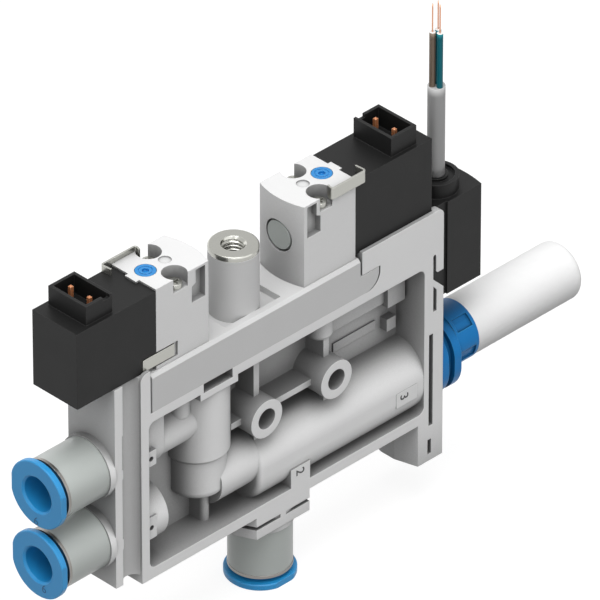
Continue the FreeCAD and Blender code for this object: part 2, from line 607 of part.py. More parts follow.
    # Bores
    piece.discs("YZ", -COLLAR_FACE, FITTING_PLUG + FIT, SOCKET_RADIUS, PORTS, cut=True, back=True)
    for port, end in ((PORTS[0], STUB_END + 1.5), (PORTS[1], STANDPIPE_X)):
        piece.discs("YZ", -COLLAR_FACE, COLLAR_FACE - end, PASSAGE_RADIUS, [port], cut=True, back=True)
    vacuum = [(-VACUUM_X, 0)]
    piece.discs("XY", -VACUUM_FACE, FITTING_PLUG + FIT, SOCKET_RADIUS, vacuum, cut=True, back=True)
    piece.discs("XY", -VACUUM_FACE, VACUUM_FACE - PORT_DROP, SUCTION_RADIUS, vacuum, cut=True, back=True)
    for start, radius in ((RECEIVER_END, EXHAUST_RADIUS), (-JET_SEAT, RECEIVER_RADIUS + FIT),
                          (-JET_START, JET_RADIUS + FIT), (-STANDPIPE_X, SUPPLY_RADIUS)):
        piece.discs("YZ", FRAME_RIGHT, FRAME_RIGHT - start, radius, [(0, -PORT_DROP)], cut=True)
    piece.discs("XY", BAR_BOTTOM, BAR_BOTTOM + PORT_DROP, STANDPIPE_BORE, [(-STANDPIPE_X, 0)], cut=True)


def manifold():
    """The grey bar under the valves, with the round boss of the threaded bush."""
    piece = Piece("valve_manifold")
    drawing = piece.sketch("XZ")
    outline(drawing, [(-BAR_LEFT, BAR_BOTTOM), (TONGUE_END, BAR_BOTTOM),
                      (TONGUE_END, BAR_BOTTOM + TONGUE_HEIGHT), (BAR_RIGHT, BAR_BOTTOM + TONGUE_HEIGHT),
                      (BAR_RIGHT, BAR_TOP), (-BAR_LEFT, BAR_TOP)])
    piece.pad(drawing, DEPTH, both=True)
    piece.round_edges(1, [(TONGUE_END, BAR_BOTTOM)], TONGUE_CORNER)
    piece.round_edges(0, [(-HALF, BAR_TOP), (HALF, BAR_TOP)], BAR_EDGE, "Chamfer")
    piece.blocks("XY", BAR_TOP, BAR_RECESS, [(-BUSH_X - 6, -BUSH_X + 6.4, -4.1, 4.1)], cut=True)
    piece.discs("XY", BAR_TOP - BAR_RECESS - 0.3, BUSH_RISE - BUSH_RIM + BAR_RECESS + 0.3, BUSH_RADIUS,
                [(-BUSH_X, 0)])
    piece.discs("XY", BAR_TOP + BUSH_RISE, BUSH_RISE + 2, BUSH_SLEEVE + FIT, [(-BUSH_X, 0)], cut=True)
    spots = [(-VALVE_CENTRE + x * side, y * side) for x, y in SCREWS for side in (1, -1)]
    piece.discs("XY", BAR_TOP, SCREW_BITE + 0.3, SCREW_SHANK + FIT, spots, cut=True)


def threaded_bush():
    """The metal bush in the manifold's boss, with a chamfered rim."""
    piece = Piece("threaded_bush", (-BUSH_X, 0, BAR_TOP + BUSH_RISE))
    piece.turned([(BUSH_MOUTH, 0), (BUSH_RADIUS - 0.25, 0), (BUSH_RADIUS, -0.25),
                  (BUSH_RADIUS, -BUSH_RIM), (BUSH_SLEEVE, -BUSH_RIM), (BUSH_SLEEVE, -BUSH_DEPTH),
                  (THREAD_RADIUS, -BUSH_DEPTH), (THREAD_RADIUS, THREAD_RADIUS - BUSH_MOUTH)])


def valve(prefix, turn):
    """One solenoid valve, drawn with X towards its solenoid from the middle of both valves."""
    at = (-VALVE_CENTRE, 0, BAR_TOP)
    half = VALVE_WIDTH / 2
    body = Piece(f"{prefix}_valve_body", at, turn)
    plan = body.sketch("XY")
    bulged(plan, VALVE_INNER, VALVE_OUTER, half, VALVE_BULGE)
    body.pad(plan, VALVE_HEIGHT)
    room = OVERRIDE_LENGTH + OVERRIDE_ROOM
    for radius, depth, spots in ((OVERRIDE_RADIUS + RUNNING, room, [(OVERRIDE_X, 0)]),
                                 (WELL_RADIUS, SCREW_SINK + SCREW_THICK, SCREWS),
                                 (SCREW_SHANK + FIT, VALVE_HEIGHT, SCREWS),
                                 (MARK_RADIUS, 0.25, [(MARK_X, 0)])):
        body.discs("XY", VALVE_HEIGHT, depth, radius, spots, cut=True)
    for side in (1, -1):
        drawing = body.sketch("XZ", half * side)
        outline(drawing, [(11.3, 9.1), (14.25, 9.1), (14.25, 12.1), (13.4, 12.5),
                          (13.4, VALVE_HEIGHT - 0.45), (11.3, VALVE_HEIGHT - 0.45)])
        body.pocket(drawing, 1.2, back=side < 0)
    plug_face = VALVE_INNER - VALVE_BULGE
    body.discs("YZ", plug_face, PLUG_LENGTH + 0.2, PLUG_RADIUS + FIT, [(0, PLUG_RISE)], cut=True, back=True)
    body.discs("YZ", plug_face, 10.5, SPOOL_BORE, [(0, PLUG_RISE)], cut=True, back=True)
    seal = [(SEAL_START, SEAL_START + SEAL_LENGTH, -(SEAL_WIDTH / 2), SEAL_WIDTH / 2)]
    body.blocks("XY", 0, SEAL, seal, cut=True, back=True)
    clip_end = LOW_CLIP_START + LOW_CLIP_LENGTH
    clip_bed = [(LOW_CLIP_START - 0.7, clip_end + 0.25, LOW_CLIP_LIFT - 0.25,
                 LOW_CLIP_LIFT + LOW_CLIP_HEIGHT + 0.25)]
    body.blocks("XZ", -half, CLIP, clip_bed, cut=True, back=True)
    body.blocks("XY", SOLENOID_TOP, VALVE_HEIGHT - SOLENOID_TOP,
                [(VALVE_OUTER - 0.3, VALVE_OUTER + 0.7, -1.25, 1.25)])

    gasket = Piece(f"{prefix}_valve_seal", at, turn)
    gasket.blocks("XY", 0, SEAL, seal)
    gasket.discs("XY", 0, SEAL, 0.8, [(SEAL_START + SEAL_LENGTH * k, 0) for k in (0.2, 0.5, 0.8)],
                 cut=True, back=True)

    plug = Piece(f"{prefix}_end_plug", at, turn)
    plug.discs("YZ", plug_face + 0.2, PLUG_LENGTH, PLUG_RADIUS, [(0, PLUG_RISE)])

    spool = Piece(f"{prefix}_spool", at, turn)
    start = plug_face + 0.2 + PLUG_LENGTH
    land, waist = SPOOL_BORE - RUNNING, SPOOL_BORE - 0.8
    spool.discs("YZ", start, 7, waist, [(0, PLUG_RISE)])
    for shift in (0, 2.9, 5.8):
        spool.discs("YZ", start + shift, 1.2, land, [(0, PLUG_RISE)])

    solenoid = Piece(f"{prefix}_solenoid", at, turn)
    solenoid.blocks("XY", SOLENOID_LIFT, SOLENOID_HEIGHT, [(VALVE_OUTER, SOLENOID_END, -half, half)])
    wide = SHROUD_WIDTH / 2
    inner = wide - SHROUD_WALL
    first, last = SHROUD_START, SHROUD_START + SHROUD_LENGTH
    solenoid.blocks("XY", SOLENOID_TOP, SHROUD_HEIGHT, [(first, last, -wide, wide)])
    solenoid.blocks("XY", SOLENOID_TOP + SHROUD_HEIGHT, SHROUD_HEIGHT,
                    [(first + SHROUD_WALL, last - SHROUD_WALL, -inner, inner)], cut=True)
    middle = SHROUD_START + SHROUD_LENGTH / 2
    reach = PIN_WIDTH / 2
    spread = PIN_PITCH / 2
    feet = [(middle - reach, middle + reach, y - reach, y + reach) for y in (spread, -spread)]
    solenoid.blocks("XY", SOLENOID_TOP, PIN_ROOT, feet, cut=True)
    solenoid.blocks("XY", SOLENOID_TOP + SHROUD_HEIGHT, 0.6,
                    [(first + 0.5, first + 2.0, inner - 0.1, wide + 0.1)], cut=True)
    solenoid.blocks("XZ", -half, CLIP, clip_bed, cut=True, back=True)

    pins = Piece(f"{prefix}_contact_pins", at, turn)
    pins.blocks("XY", SOLENOID_TOP - PIN_ROOT, PIN_ROOT + PIN_RISE, feet)
    level = SOLENOID_TOP + PIN_RISE
    rims = [(middle + reach * side, y, level) for y in (spread, -spread) for side in (1, -1)]
    rims += [(middle, y + reach * side, level) for y in (spread, -spread) for side in (1, -1)]
    pins.round_rims(rims, PIN_WIDTH * 0.3, "Chamfer")

    button = Piece(f"{prefix}_override", (-VALVE_CENTRE, 0, VALVE_TOP), turn)
    button.discs("XY", 0, OVERRIDE_LENGTH, OVERRIDE_RADIUS, [(OVERRIDE_X, 0)], back=True)
    button.discs("XY", 0, 0.5, 0.6, [(OVERRIDE_X, 0)], cut=True)
    drawing = button.sketch("XY")
    for radius in (1.0, 1.25):
        circle(drawing, OVERRIDE_X, 0, radius)
    button.pocket(drawing, 0.15)

    screws = Piece(f"{prefix}_valve_screws", at, turn)
    head = VALVE_HEIGHT - SCREW_SINK
    screws.discs("XY", head, SCREW_THICK, SCREW_HEAD, SCREWS, back=True)
    screws.discs("XY", head - 0.4, head - 0.4 + SCREW_BITE, SCREW_SHANK, SCREWS, back=True)
    for long, thin in ((0.8, 0.18), (0.18, 0.8)):
        cross = [(x - long, x + long, y - thin, y + thin) for x, y in SCREWS]
        screws.blocks("XY", head, 0.45, cross, cut=True)

    low = Piece(f"{prefix}_lower_clip", at, turn)
    low.blocks("XZ", CLIP - half, CLIP, [(LOW_CLIP_START, clip_end, LOW_CLIP_LIFT,
                                          LOW_CLIP_LIFT + LOW_CLIP_HEIGHT)], back=True)

    top = Piece(f"{prefix}_upper_clip", at, turn)
    last = TOP_CLIP_START + TOP_CLIP_LENGTH
    top.blocks("XY", VALVE_HEIGHT + TOP_CLIP_RISE - TOP_CLIP_HEIGHT, TOP_CLIP_HEIGHT,
               [(TOP_CLIP_START, last, -(half + CLIP), -half),
                (TOP_CLIP_START, TOP_CLIP_START + CLIP, -half, 0.6 - half)])
    top.blocks("XY", SOLENOID_TOP, VALVE_HEIGHT + TOP_CLIP_RISE - SOLENOID_TOP,
               [(last - CLIP, last, -half, TOP_CLIP_HOOK - half)])


def fitting(prefix, at, turn):
    """One push in fitting, drawn with Z outward from the face of its collar."""
    stop = -2
    body = Piece(f"{prefix}_fitting", at, turn)
    plug = SOCKET_RADIUS - FIT
    tube = TUBE_RADIUS + RUNNING
    body.turned([(PASSAGE_RADIUS, -FITTING_PLUG), (plug - 0.4, -FITTING_PLUG), (plug, -FITTING_PLUG + 0.4),
                 (plug, 0), (FITTING_RADIUS, 0), (FITTING_RADIUS, FITTING_LENGTH),
                 (FITTING_ROOM, FITTING_LENGTH), (FITTING_ROOM, 2.2), (tube, 2.2), (tube, stop),
                 (PASSAGE_RADIUS, stop)])
    seal = Piece(f"{prefix}_tube_seal", at, turn)
    room = FITTING_ROOM
    seal.turned([(tube, 2.2), (room, 2.2), (room, 3.6), (room - 0.5, 3.6), (room - 0.9, 2.8),
                 (tube + 0.5, 3.0), (tube + 0.1, 3.6), (tube - 0.05, 3.5)])
    grip = Piece(f"{prefix}_collet", at, turn)
    bore = STEM_RADIUS + RUNNING
    grip.turned([(room, 3.6), (room, FITTING_LENGTH), (bore, FITTING_LENGTH), (bore, 4.6), (tube + 0.1, 4.2),
                 (tube + 0.1, 4.0), (bore - 0.3, 3.6)])
    end = Piece(f"{prefix}_end_ring", at, turn)
    end.turned([(bore, FITTING_LENGTH), (FITTING_RADIUS + 0.07, FITTING_LENGTH),
                (FITTING_RADIUS + 0.07, FITTING_LENGTH + METAL_RING), (bore, FITTING_LENGTH + METAL_RING)])
    ring = Piece(f"{prefix}_release_ring", at, turn)
    face = RING_FACE
    front = RING_FACE + RING_THICK
    ring.turned([(tube, 5.5), (STEM_RADIUS - 0.3, 5.5), (STEM_RADIUS, 5.9), (STEM_RADIUS, face),
                 (RING_RADIUS - 0.15, face), (RING_RADIUS, face + 0.15), (RING_RADIUS, front - 0.15),
                 (RING_RADIUS - 0.15, front), (tube + MOUTH, front), (tube, front - MOUTH)])
    flat = RING_FLATS / 2
    ring.blocks("XY", front + 0.1, RING_THICK + 0.2,
                [(-7, 7, flat, 7), (-7, 7, -7, -flat)], cut=True)


def ejector_stage():
    """Jet nozzle, receiver nozzle, check valve disc and vacuum filter."""
    axis = (0, 0, -PORT_DROP)
    jet = Piece("jet_nozzle", axis, ALONG)
    start = -JET_START
    jet.turned([(JET_THROAT * 2.4, start), (JET_RADIUS, start), (JET_RADIUS, -JET_SEAT), (1.5, -JET_SEAT),
                (1.0, -JET_TIP), (JET_THROAT, -JET_TIP), (JET_THROAT, -JET_SEAT + 0.5)])
    receiver = Piece("receiver_nozzle", axis, ALONG)
    throat = RECEIVER_THROAT
    receiver.turned([(throat * 2, -RECEIVER_START), (RECEIVER_RADIUS - 0.6, -RECEIVER_START),
                     (RECEIVER_RADIUS, 0.4), (RECEIVER_RADIUS, RECEIVER_END), (throat * 2, RECEIVER_END),
                     (throat, 3), (throat, 0.5)])
    floor = VACUUM_FACE - FITTING_PLUG
    sieve = Piece("vacuum_filter", (-VACUUM_X, 0, -floor))
    sieve.discs("XY", 0, FILTER_THICK, SUCTION_RADIUS - FIT / 2, [(0, 0)])
    disc = Piece("check_valve_disc", (-VACUUM_X, 0, -floor + FILTER_THICK))
    disc.discs("XY", 0, DISC_THICK, SUCTION_RADIUS - 0.4, [(0, 0)])


def silencer():
    """The blue adapter with its two rims, and the porous silencer in its sleeve."""
    adapter = Piece("silencer_adapter")
    upper, lower = -CHAMBER_TOP, -(CHAMBER_TOP + CHAMBER_STRETCH)
    start = FRAME_RIGHT
    for length, radius in ((RIM_THICK, RIM_RADIUS), (GROOVE, RIM_RADIUS - 1.0), (RIM_THICK, RIM_RADIUS)):
        drawing = adapter.sketch("YZ", start)
        obround(drawing, 0, lower, upper, radius)
        adapter.pad(drawing, length)
        start = start + length
    adapter.discs("YZ", start, SLEEVE_LENGTH, SILENCER_RADIUS + FIT, [(0, -PORT_DROP)])
    root = start - FRAME_RIGHT + SPIGOT
    adapter.discs("YZ", start, root, EXHAUST_RADIUS - FIT / 2, [(0, -PORT_DROP)], back=True)
    drawing = adapter.sketch("YZ", start + 0.5)
    angles = [math.radians(a) for a in range(-30, 61, 10)]
    sector = [(-(SILENCER_RADIUS - 0.25) * math.cos(a), (SILENCER_RADIUS - 0.25) * math.sin(a) - PORT_DROP)
              for a in angles]
    sector += [(-7 * math.cos(a), 7 * math.sin(a) - PORT_DROP) for a in (angles[-1], angles[0])]
    outline(drawing, sector)
    adapter.pocket(drawing, SLEEVE_LENGTH - 1.1, back=True)
    end = start + SLEEVE_LENGTH
    adapter.discs("YZ", end, SLEEVE_LENGTH, SILENCER_RADIUS - 0.8, [(0, -PORT_DROP)], cut=True)
    adapter.discs("YZ", end, end - FRAME_RIGHT + SPIGOT, EXHAUST_RADIUS - 1, [(0, -PORT_DROP)], cut=True)
    muffler = Piece("silencer", (end, 0, -PORT_DROP), ALONG)
    length = SILENCER_LENGTH
    muffler.turned([(SILENCER_BORE, -SLEEVE_LENGTH), (SILENCER_RADIUS - 0.8 - FIT, -SLEEVE_LENGTH),
                    (SILENCER_RADIUS - 0.8 - FIT, 0), (SILENCER_RADIUS, 0), (SILENCER_RADIUS, length - 1.2),
                    (SILENCER_RADIUS - 0.35, length - 0.4), (SILENCER_RADIUS - 1.2, length), (0, length),
                    (0, length - 2.5), (SILENCER_BORE, length - 2.5)])


def sensor():
    """The pressure sensor with its gland, and the lead with its cores and bare strands."""
    piece = Piece("pressure_sensor")
    drawing = piece.sketch("XY", SENSOR_BOTTOM)
    bulged(drawing, SENSOR_START, SENSOR_END - SENSOR_BULGE, SENSOR_WIDTH / 2, SENSOR_BULGE, outward=True)
    height = SENSOR_TOP - SENSOR_BOTTOM
    piece.pad(drawing, height)
    neck = HALF - FLANGE - FIT
    piece.blocks("XY", SENSOR_BOTTOM, height, [(END_WALL, SENSOR_START + 0.5, -neck, neck)])
    piece.discs("XY", SENSOR_TOP, GLAND_HEIGHT, GLAND_RADIUS, [(CABLE_X, 0)])
    foot = SENSOR_TOP + GLAND_HEIGHT
    drawing = piece.sketch("XY", foot)
    for radius in (2.0, 3.1):
        circle(drawing, CABLE_X, 0, radius)
    piece.pocket(drawing, 0.5)
    cable = Piece("sensor_cable", (CABLE_X, 0, foot))
    cable.discs("XY", 0, JACKET_LENGTH, CABLE_RADIUS, [(0, 0)])
    spots = [(CORE_PITCH * round(math.cos(a), 3), CORE_PITCH * round(math.sin(a), 3))
             for a in (0.5, 2.6, 4.7)]
    cores = Piece("cable_cores", (CABLE_X, 0, foot + JACKET_LENGTH))
    cores.discs("XY", 0, CORE_LENGTH, CORE_RADIUS, spots)
    strands = Piece("cable_strands", (CABLE_X, 0, foot + JACKET_LENGTH + CORE_LENGTH))
    strands.discs("XY", 0, STRAND_LENGTH, STRAND_RADIUS, spots)


housing()
manifold()
threaded_bush()
valve("supply", HALF_TURN)
valve("pulse", UP)
fitting("pulse", (-COLLAR_FACE, 0, PORT_RISE), BACKWARD)
fitting("supply", (-COLLAR_FACE, 0, -PORT_DROP), BACKWARD)
fitting("vacuum", (-VACUUM_X, 0, -VACUUM_FACE), DOWN)
ejector_stage()
silencer()
sensor()
doc.recompute()

for thing in doc.Objects:
    if {"Invalid", "Error"} & set(thing.State):
        raise RuntimeError(f"{thing.Label} did not compute: {thing.State}")
os.makedirs("parts", exist_ok=True)
for body in pieces:
    if body.Shape.isNull() or not body.Shape.isValid():
        raise RuntimeError(f"{body.Label} is not a valid solid")
    body.Shape.exportStep(f"parts/{body.Label}.step")
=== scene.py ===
"""Dresses the vacuum ejector for its picture.

The CAD nodes keep their shapes and get finishes. The sensor's lead, the porous silencer, the
threaded bush, the upper clips and the end plugs are modelled again with the detail that the
solids leave out, and the plain port and tube numbers are added. Classes hold their sizes in
millimetres, and one factor turns them to metres when a mesh is made. X runs from the fittings
to the silencer, Z is up, and the front looks against Y.
"""

from __future__ import annotations

import logging
import math
from collections.abc import Callable
from dataclasses import dataclass, field
from enum import Enum, IntEnum

import bpy
import numpy as np
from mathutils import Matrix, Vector

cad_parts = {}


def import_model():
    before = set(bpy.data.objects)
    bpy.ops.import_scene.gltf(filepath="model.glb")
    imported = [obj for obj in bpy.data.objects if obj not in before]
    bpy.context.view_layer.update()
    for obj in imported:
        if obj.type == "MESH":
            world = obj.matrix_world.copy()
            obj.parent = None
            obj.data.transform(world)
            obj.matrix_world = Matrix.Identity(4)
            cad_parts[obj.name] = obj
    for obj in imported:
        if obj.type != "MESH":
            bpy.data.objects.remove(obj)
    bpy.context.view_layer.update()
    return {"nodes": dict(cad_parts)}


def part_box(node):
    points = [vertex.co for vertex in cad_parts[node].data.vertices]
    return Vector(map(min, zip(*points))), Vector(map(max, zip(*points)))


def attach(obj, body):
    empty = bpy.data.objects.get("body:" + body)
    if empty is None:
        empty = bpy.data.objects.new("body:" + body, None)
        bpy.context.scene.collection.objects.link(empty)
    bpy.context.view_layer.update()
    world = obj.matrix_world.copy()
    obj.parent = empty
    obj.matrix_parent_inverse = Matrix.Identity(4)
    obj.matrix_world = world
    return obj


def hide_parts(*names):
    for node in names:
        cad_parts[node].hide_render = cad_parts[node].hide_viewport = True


LOG = logging.getLogger("vacuum_ejector")
MM = 0.001  # one millimetre in metres
SEED = 20  # seed of the silencer's grain
DRIFT = 9.0  # size of the slow colour drift, in millimetres
HANDLING = 5.0  # size of the patches of wear, in millimetres
WEAR = 0.1  # how far wear takes the roughness up and down
EDGE_START = 0.995  # rounded normal times flat normal, where an edge's painted highlight starts
EDGE_FULL = 0.80  # the same, where it is full
EDGE_SHARE = 0.8  # how much of the edge's painted highlight shows
EDGE_SAMPLES = 6  # rays that round an edge
HOLLOW_SAMPLES = 8  # rays that feel a hollow out for its painted shade
HOLLOW_REACH = 16.0  # distance in which walls close a hollow in, in millimetres
HOLLOW_POWER = 2.0  # how steeply the painted shade in a hollow darkens
DIGIT_SHARE = 0.7  # height of a digit as a share of the font's size
FRONT_FACE = -5.76  # Y of the housing's number tabs
RING_FACE = -53.03  # X of the left rings' faces


class Making(Enum):
    """How a surface was made, which decides its relief."""

    MOULDED = "moulded"
    BRUSHED = "brushed"
    SINTERED = "sintered"
    EXTRUDED = "extruded"


class LeadPart(IntEnum):
    """Material slots of the lead, in the order of its finishes."""

    JACKET = 0
    BROWN = 1
    TEAL = 2
    STRAND = 3
    CORE_CUT = 4
    JACKET_CUT = 5


def linear(colour: str) -> tuple[float, float, float, float]:
    """Turns an sRGB hex colour to linear values.

    Args:
        colour: six hex digits with a leading hash.

    Returns:
        Red, green, blue and alpha in linear light.
    """
    parts = [int(colour[i : i + 2], 16) / 255 for i in (1, 3, 5)]
    red, green, blue = [p / 12.92 if p <= 0.04045 else ((p + 0.055) / 1.055) ** 2.4 for p in parts]
    return red, green, blue, 1.0


def add_node(
    tree: bpy.types.NodeTree, kind: str, sockets: dict | None = None, **settings: str | int
) -> bpy.types.Node:
    """Adds one node with its settings, socket values and links.

    Args:
        tree: the node tree to add to.
        kind: the node's type.
        sockets: values or output sockets, by the input's name or number.
        settings: properties of the node itself.

    Returns:
        The new node.
    """
    node = tree.nodes.new(kind)
    for name, value in settings.items():
        setattr(node, name, value)
    for name, value in (sockets or {}).items():
        if isinstance(value, bpy.types.NodeSocket):
            tree.links.new(value, node.inputs[name])
        else:
            node.inputs[name].default_value = value
    return node


@dataclass(frozen=True)
class Finish:
    """One real material, its making and its looks.

    Args:
        name: the material's name.
        colour: sRGB hex of the surface.
        shade: sRGB hex that the colour drifts to over a few millimetres.
        edge: sRGB hex of the highlight painted on rounded edges.
        roughness: microfacet roughness.
        making: how the surface was made.
        grain: size of the relief in millimetres.
        relief: height of the relief in millimetres.
        rounding: radius that edges look rounded by, in millimetres.
        metallic: 1 for a metal, less for one that keeps its own tone in a dark place.
        ior: refractive index, left at 1.5 for a metal.
        specular: strength of the gloss, half for a plain surface.
        painted_hollow_shade: how much darker the painted shade makes the deepest hollows, from 0 to
            1.
    """

    name: str
    colour: str
    shade: str
    edge: str
    roughness: float
    making: Making = Making.MOULDED
    grain: float = 0.3
    relief: float = 0.004
    rounding: float = 0.15
    metallic: float = 0.0
    ior: float = 1.5
    specular: float = 0.5
    painted_hollow_shade: float = 0.0

    def material(self) -> bpy.types.Material:
        """Builds the material once and finds it again afterwards.

        Returns:
            The finish's material.
        """
        found = bpy.data.materials.get(self.name)
        if found:
            return found
        made = bpy.data.materials.new(self.name)
        made.use_nodes = True
        tree = made.node_tree
        tree.nodes.clear()
        place = add_node(tree, "ShaderNodeTexCoord").outputs["Object"]
        rounded = add_node(
            tree, "ShaderNodeBevel", {"Radius": self.rounding * MM}, samples=EDGE_SAMPLES
        )
        surface = add_node(
            tree,
            "ShaderNodeBsdfPrincipled",
            {
                "Base Color": self.tint(tree, place, rounded.outputs[0]),
                "Metallic": self.metallic,
                "IOR": self.ior,
                "Specular IOR Level": self.specular,
                "Roughness": self.wear(tree, place),
                "Normal": self.bump(tree, place, rounded.outputs[0]),
            },
        )
        add_node(tree, "ShaderNodeOutputMaterial", {"Surface": surface.outputs[0]})
        return made

    def tint(
        self, tree: bpy.types.NodeTree, place: bpy.types.NodeSocket, rounded: bpy.types.NodeSocket
    ) -> bpy.types.NodeSocket:
        """Colour: a slow drift of two tones, with a painted highlight that makes rounded edges
        lighter and painted shade that makes deep hollows darker.

        The painted shade's share is the open share of each point's surroundings to a power, so a
        face that nothing closes in keeps its tone.

        Args:
            tree: the material's nodes.
            place: object coordinates.
            rounded: the normal with rounded edges.

        Returns:
            The colour's socket.
        """
        drift = add_node(
            tree, "ShaderNodeTexNoise", {"Vector": place, "Scale": 1 / (DRIFT * MM), "Detail": 3.0}
        )
        tone = add_node(
            tree,
            "ShaderNodeMix",
            {0: drift.outputs[0], 6: linear(self.colour), 7: linear(self.shade)},
            data_type="RGBA",
        )
        flat = add_node(tree, "ShaderNodeNewGeometry").outputs["True Normal"]
        along = add_node(
            tree, "ShaderNodeVectorMath", {0: rounded, 1: flat}, operation="DOT_PRODUCT"
        )
        # painted highlight: the colour turns to the edge tone where the rounded normal leaves the
        # flat one
        edge_highlight = add_node(
            tree,
            "ShaderNodeMapRange",
            {
                "Value": along.outputs["Value"],
                "From Min": EDGE_START,
                "From Max": EDGE_FULL,
                "To Max": EDGE_SHARE,
            },
        )
        highlighted = add_node(
            tree,
            "ShaderNodeMix",
            {0: edge_highlight.outputs[0], 6: tone.outputs[2], 7: linear(self.edge)},
            data_type="RGBA",
        ).outputs[2]
        if not self.painted_hollow_shade:
            return highlighted
        # painted shade: the colour darkens where nearby walls close a point in, as occlusion shades
        # it
        open_share = add_node(
            tree,
            "ShaderNodeAmbientOcclusion",
            {"Distance": HOLLOW_REACH * MM},
            samples=HOLLOW_SAMPLES,
        ).outputs["AO"]
        steep = add_node(
            tree, "ShaderNodeMath", {0: open_share, 1: HOLLOW_POWER}, operation="POWER"
        ).outputs[0]
        hollow = add_node(
            tree, "ShaderNodeMapRange", {"Value": steep, "To Min": 1 - self.painted_hollow_shade, "To Max": 1.0}
        ).outputs[0]
        return add_node(
            tree, "ShaderNodeVectorMath", {0: highlighted, "Scale": hollow}, operation="SCALE"
        ).outputs[0]

    def pattern(
        self, tree: bpy.types.NodeTree, place: bpy.types.NodeSocket
    ) -> bpy.types.NodeSocket:
        """The relief's height, at its real size, stretched along a brushed or extruded surface.

        Args:
            tree: the material's nodes.
            place: object coordinates.

        Returns:
            The height's socket, from 0 to 1.
        """
        stretch = {
            Making.MOULDED: (1.0, 1.0, 1.0),
            Making.SINTERED: (1.0, 1.0, 1.0),
            Making.BRUSHED: (0.06, 1.0, 1.0),
            Making.EXTRUDED: (1.0, 1.0, 0.03),
        }[self.making]
        moved = add_node(tree, "ShaderNodeMapping", {"Vector": place, "Scale": stretch}).outputs[0]
        scale = 1 / (self.grain * MM)
        return add_node(
            tree,
            "ShaderNodeTexNoise",
            {"Vector": moved, "Scale": scale, "Detail": 2.0, "Roughness": 0.6},
        ).outputs[0]

    def wear(self, tree: bpy.types.NodeTree, place: bpy.types.NodeSocket) -> bpy.types.NodeSocket:
        """Roughness that follows handling, a tenth up and down over a few millimetres.

        Args:
            tree: the material's nodes.
            place: object coordinates.

        Returns:
            The roughness's socket.
        """
        scale = 1 / (HANDLING * MM)
        patches = add_node(
            tree, "ShaderNodeTexNoise", {"Vector": place, "Scale": scale, "Detail": 2.0}
        ).outputs[0]
        least, most = self.roughness * (1 - WEAR), min(1.0, self.roughness * (1 + WEAR))
        return add_node(
            tree, "ShaderNodeMapRange", {"Value": patches, "To Min": least, "To Max": most}
        ).outputs[0]

    def bump(
        self, tree: bpy.types.NodeTree, place: bpy.types.NodeSocket, rounded: bpy.types.NodeSocket
    ) -> bpy.types.NodeSocket:
        """The relief as a bump on top of the rounded edges.

        Args:
            tree: the material's nodes.
            place: object coordinates.
            rounded: the normal with rounded edges.

        Returns:
            The normal's socket.
        """
        height = self.pattern(tree, place)
        return add_node(
            tree,
            "ShaderNodeBump",
            {"Height": height, "Normal": rounded, "Distance": self.relief * MM, "Strength": 1.0},
        ).outputs[0]


# Glass filled nylon, spark eroded mould: pale grey and dull, with a painted highlight on its
# edges and painted shade in its hollows
NYLON_HOUSING = Finish("moulded_nylon_pale_grey", "#EAEAEA", "#E5E5E5", "#F8F8F8", 0.55, painted_hollow_shade=0.86)
NYLON_BAR = Finish("moulded_nylon_mid_grey", "#CECECE", "#C9C9C9", "#E4E4E4", 0.5, painted_hollow_shade=0.1)
# PBT valve bodies: a shade whiter and smoother than the housing, with painted shade in their
# hollows
PBT_VALVE = Finish(
    "moulded_pbt_white", "#E2E2E2", "#DCDCDC", "#F6F6F6", 0.42, relief=0.002, painted_hollow_shade=0.75
)
# PA66 over the coils: black with a light speckled grain
NYLON_BLACK = Finish(
    "moulded_nylon_black", "#161616", "#131313", "#3C3C3C", 0.5,
    grain=0.25, relief=0.006, specular=0.22,
)
# Acetal rings and adapter: even blue with a soft gloss
ACETAL_BLUE = Finish(
    "moulded_acetal_blue", "#1F86CC", "#1B7FC4", "#5FB2E8", 0.38, relief=0.002, rounding=0.1
)
ACETAL_RING = Finish(
    "moulded_acetal_sky_blue", "#2794D2", "#238DCA", "#6CBCEA", 0.4, relief=0.002, rounding=0.1
)
# The adapter: its own more saturated blue, darkened as painted shade from the housing above it, and
# with painted shade in its hollows as well
ACETAL_ADAPTER_SHADED = Finish(
    "moulded_acetal_blue_painted_shade", "#0A7AC0", "#0873B6", "#44A2DC", 0.42,
    relief=0.002, specular=0.25, painted_hollow_shade=0.6,
)
# PBT fitting bodies and end plugs: greenish grey, smooth
PBT_GREY = Finish("moulded_pbt_green_grey", "#B4B9B6", "#AEB3B0", "#D0D4D2", 0.36, relief=0.002)
PBT_PLUG = Finish(
    "moulded_pbt_plug", "#A2A7A4", "#9DA29F", "#B8BCBA", 0.45, relief=0.002, rounding=0.1
)
# Stainless spring sheet: fine brush lines along the strip
STEEL_BRUSHED = Finish(
    "brushed_stainless_steel", "#B4B4AE", "#A9A9A3", "#E8E8E2", 0.34, Making.BRUSHED,
    grain=0.12, relief=0.003, rounding=0.08, metallic=1.0,
)
# Nickel plated steel, turned: bright, with fine lines
STEEL_TURNED = Finish(
    "turned_nickel_plated_steel", "#B4B4AE", "#ABABA5", "#F0F0EA", 0.24, Making.BRUSHED,
    grain=0.15, relief=0.002, rounding=0.08, metallic=1.0,
)
# Stainless end rings, turned and left dull
STEEL_RING = Finish(
    "turned_dull_steel", "#8F8C88", "#868380", "#B8B4B0", 0.35, Making.BRUSHED,
    grain=0.15, relief=0.002, rounding=0.08, metallic=1.0,
)
# Copper alloy pins and nozzles, drawn: orange, and less mirror like than bare metal, so that
# the black shrouds don't darken them
COPPER_PIN = Finish(
    "drawn_copper_alloy", "#C98258", "#C07A50", "#F0C8A8", 0.36, Making.EXTRUDED,
    grain=0.1, relief=0.001, rounding=0.1, metallic=0.35,
)
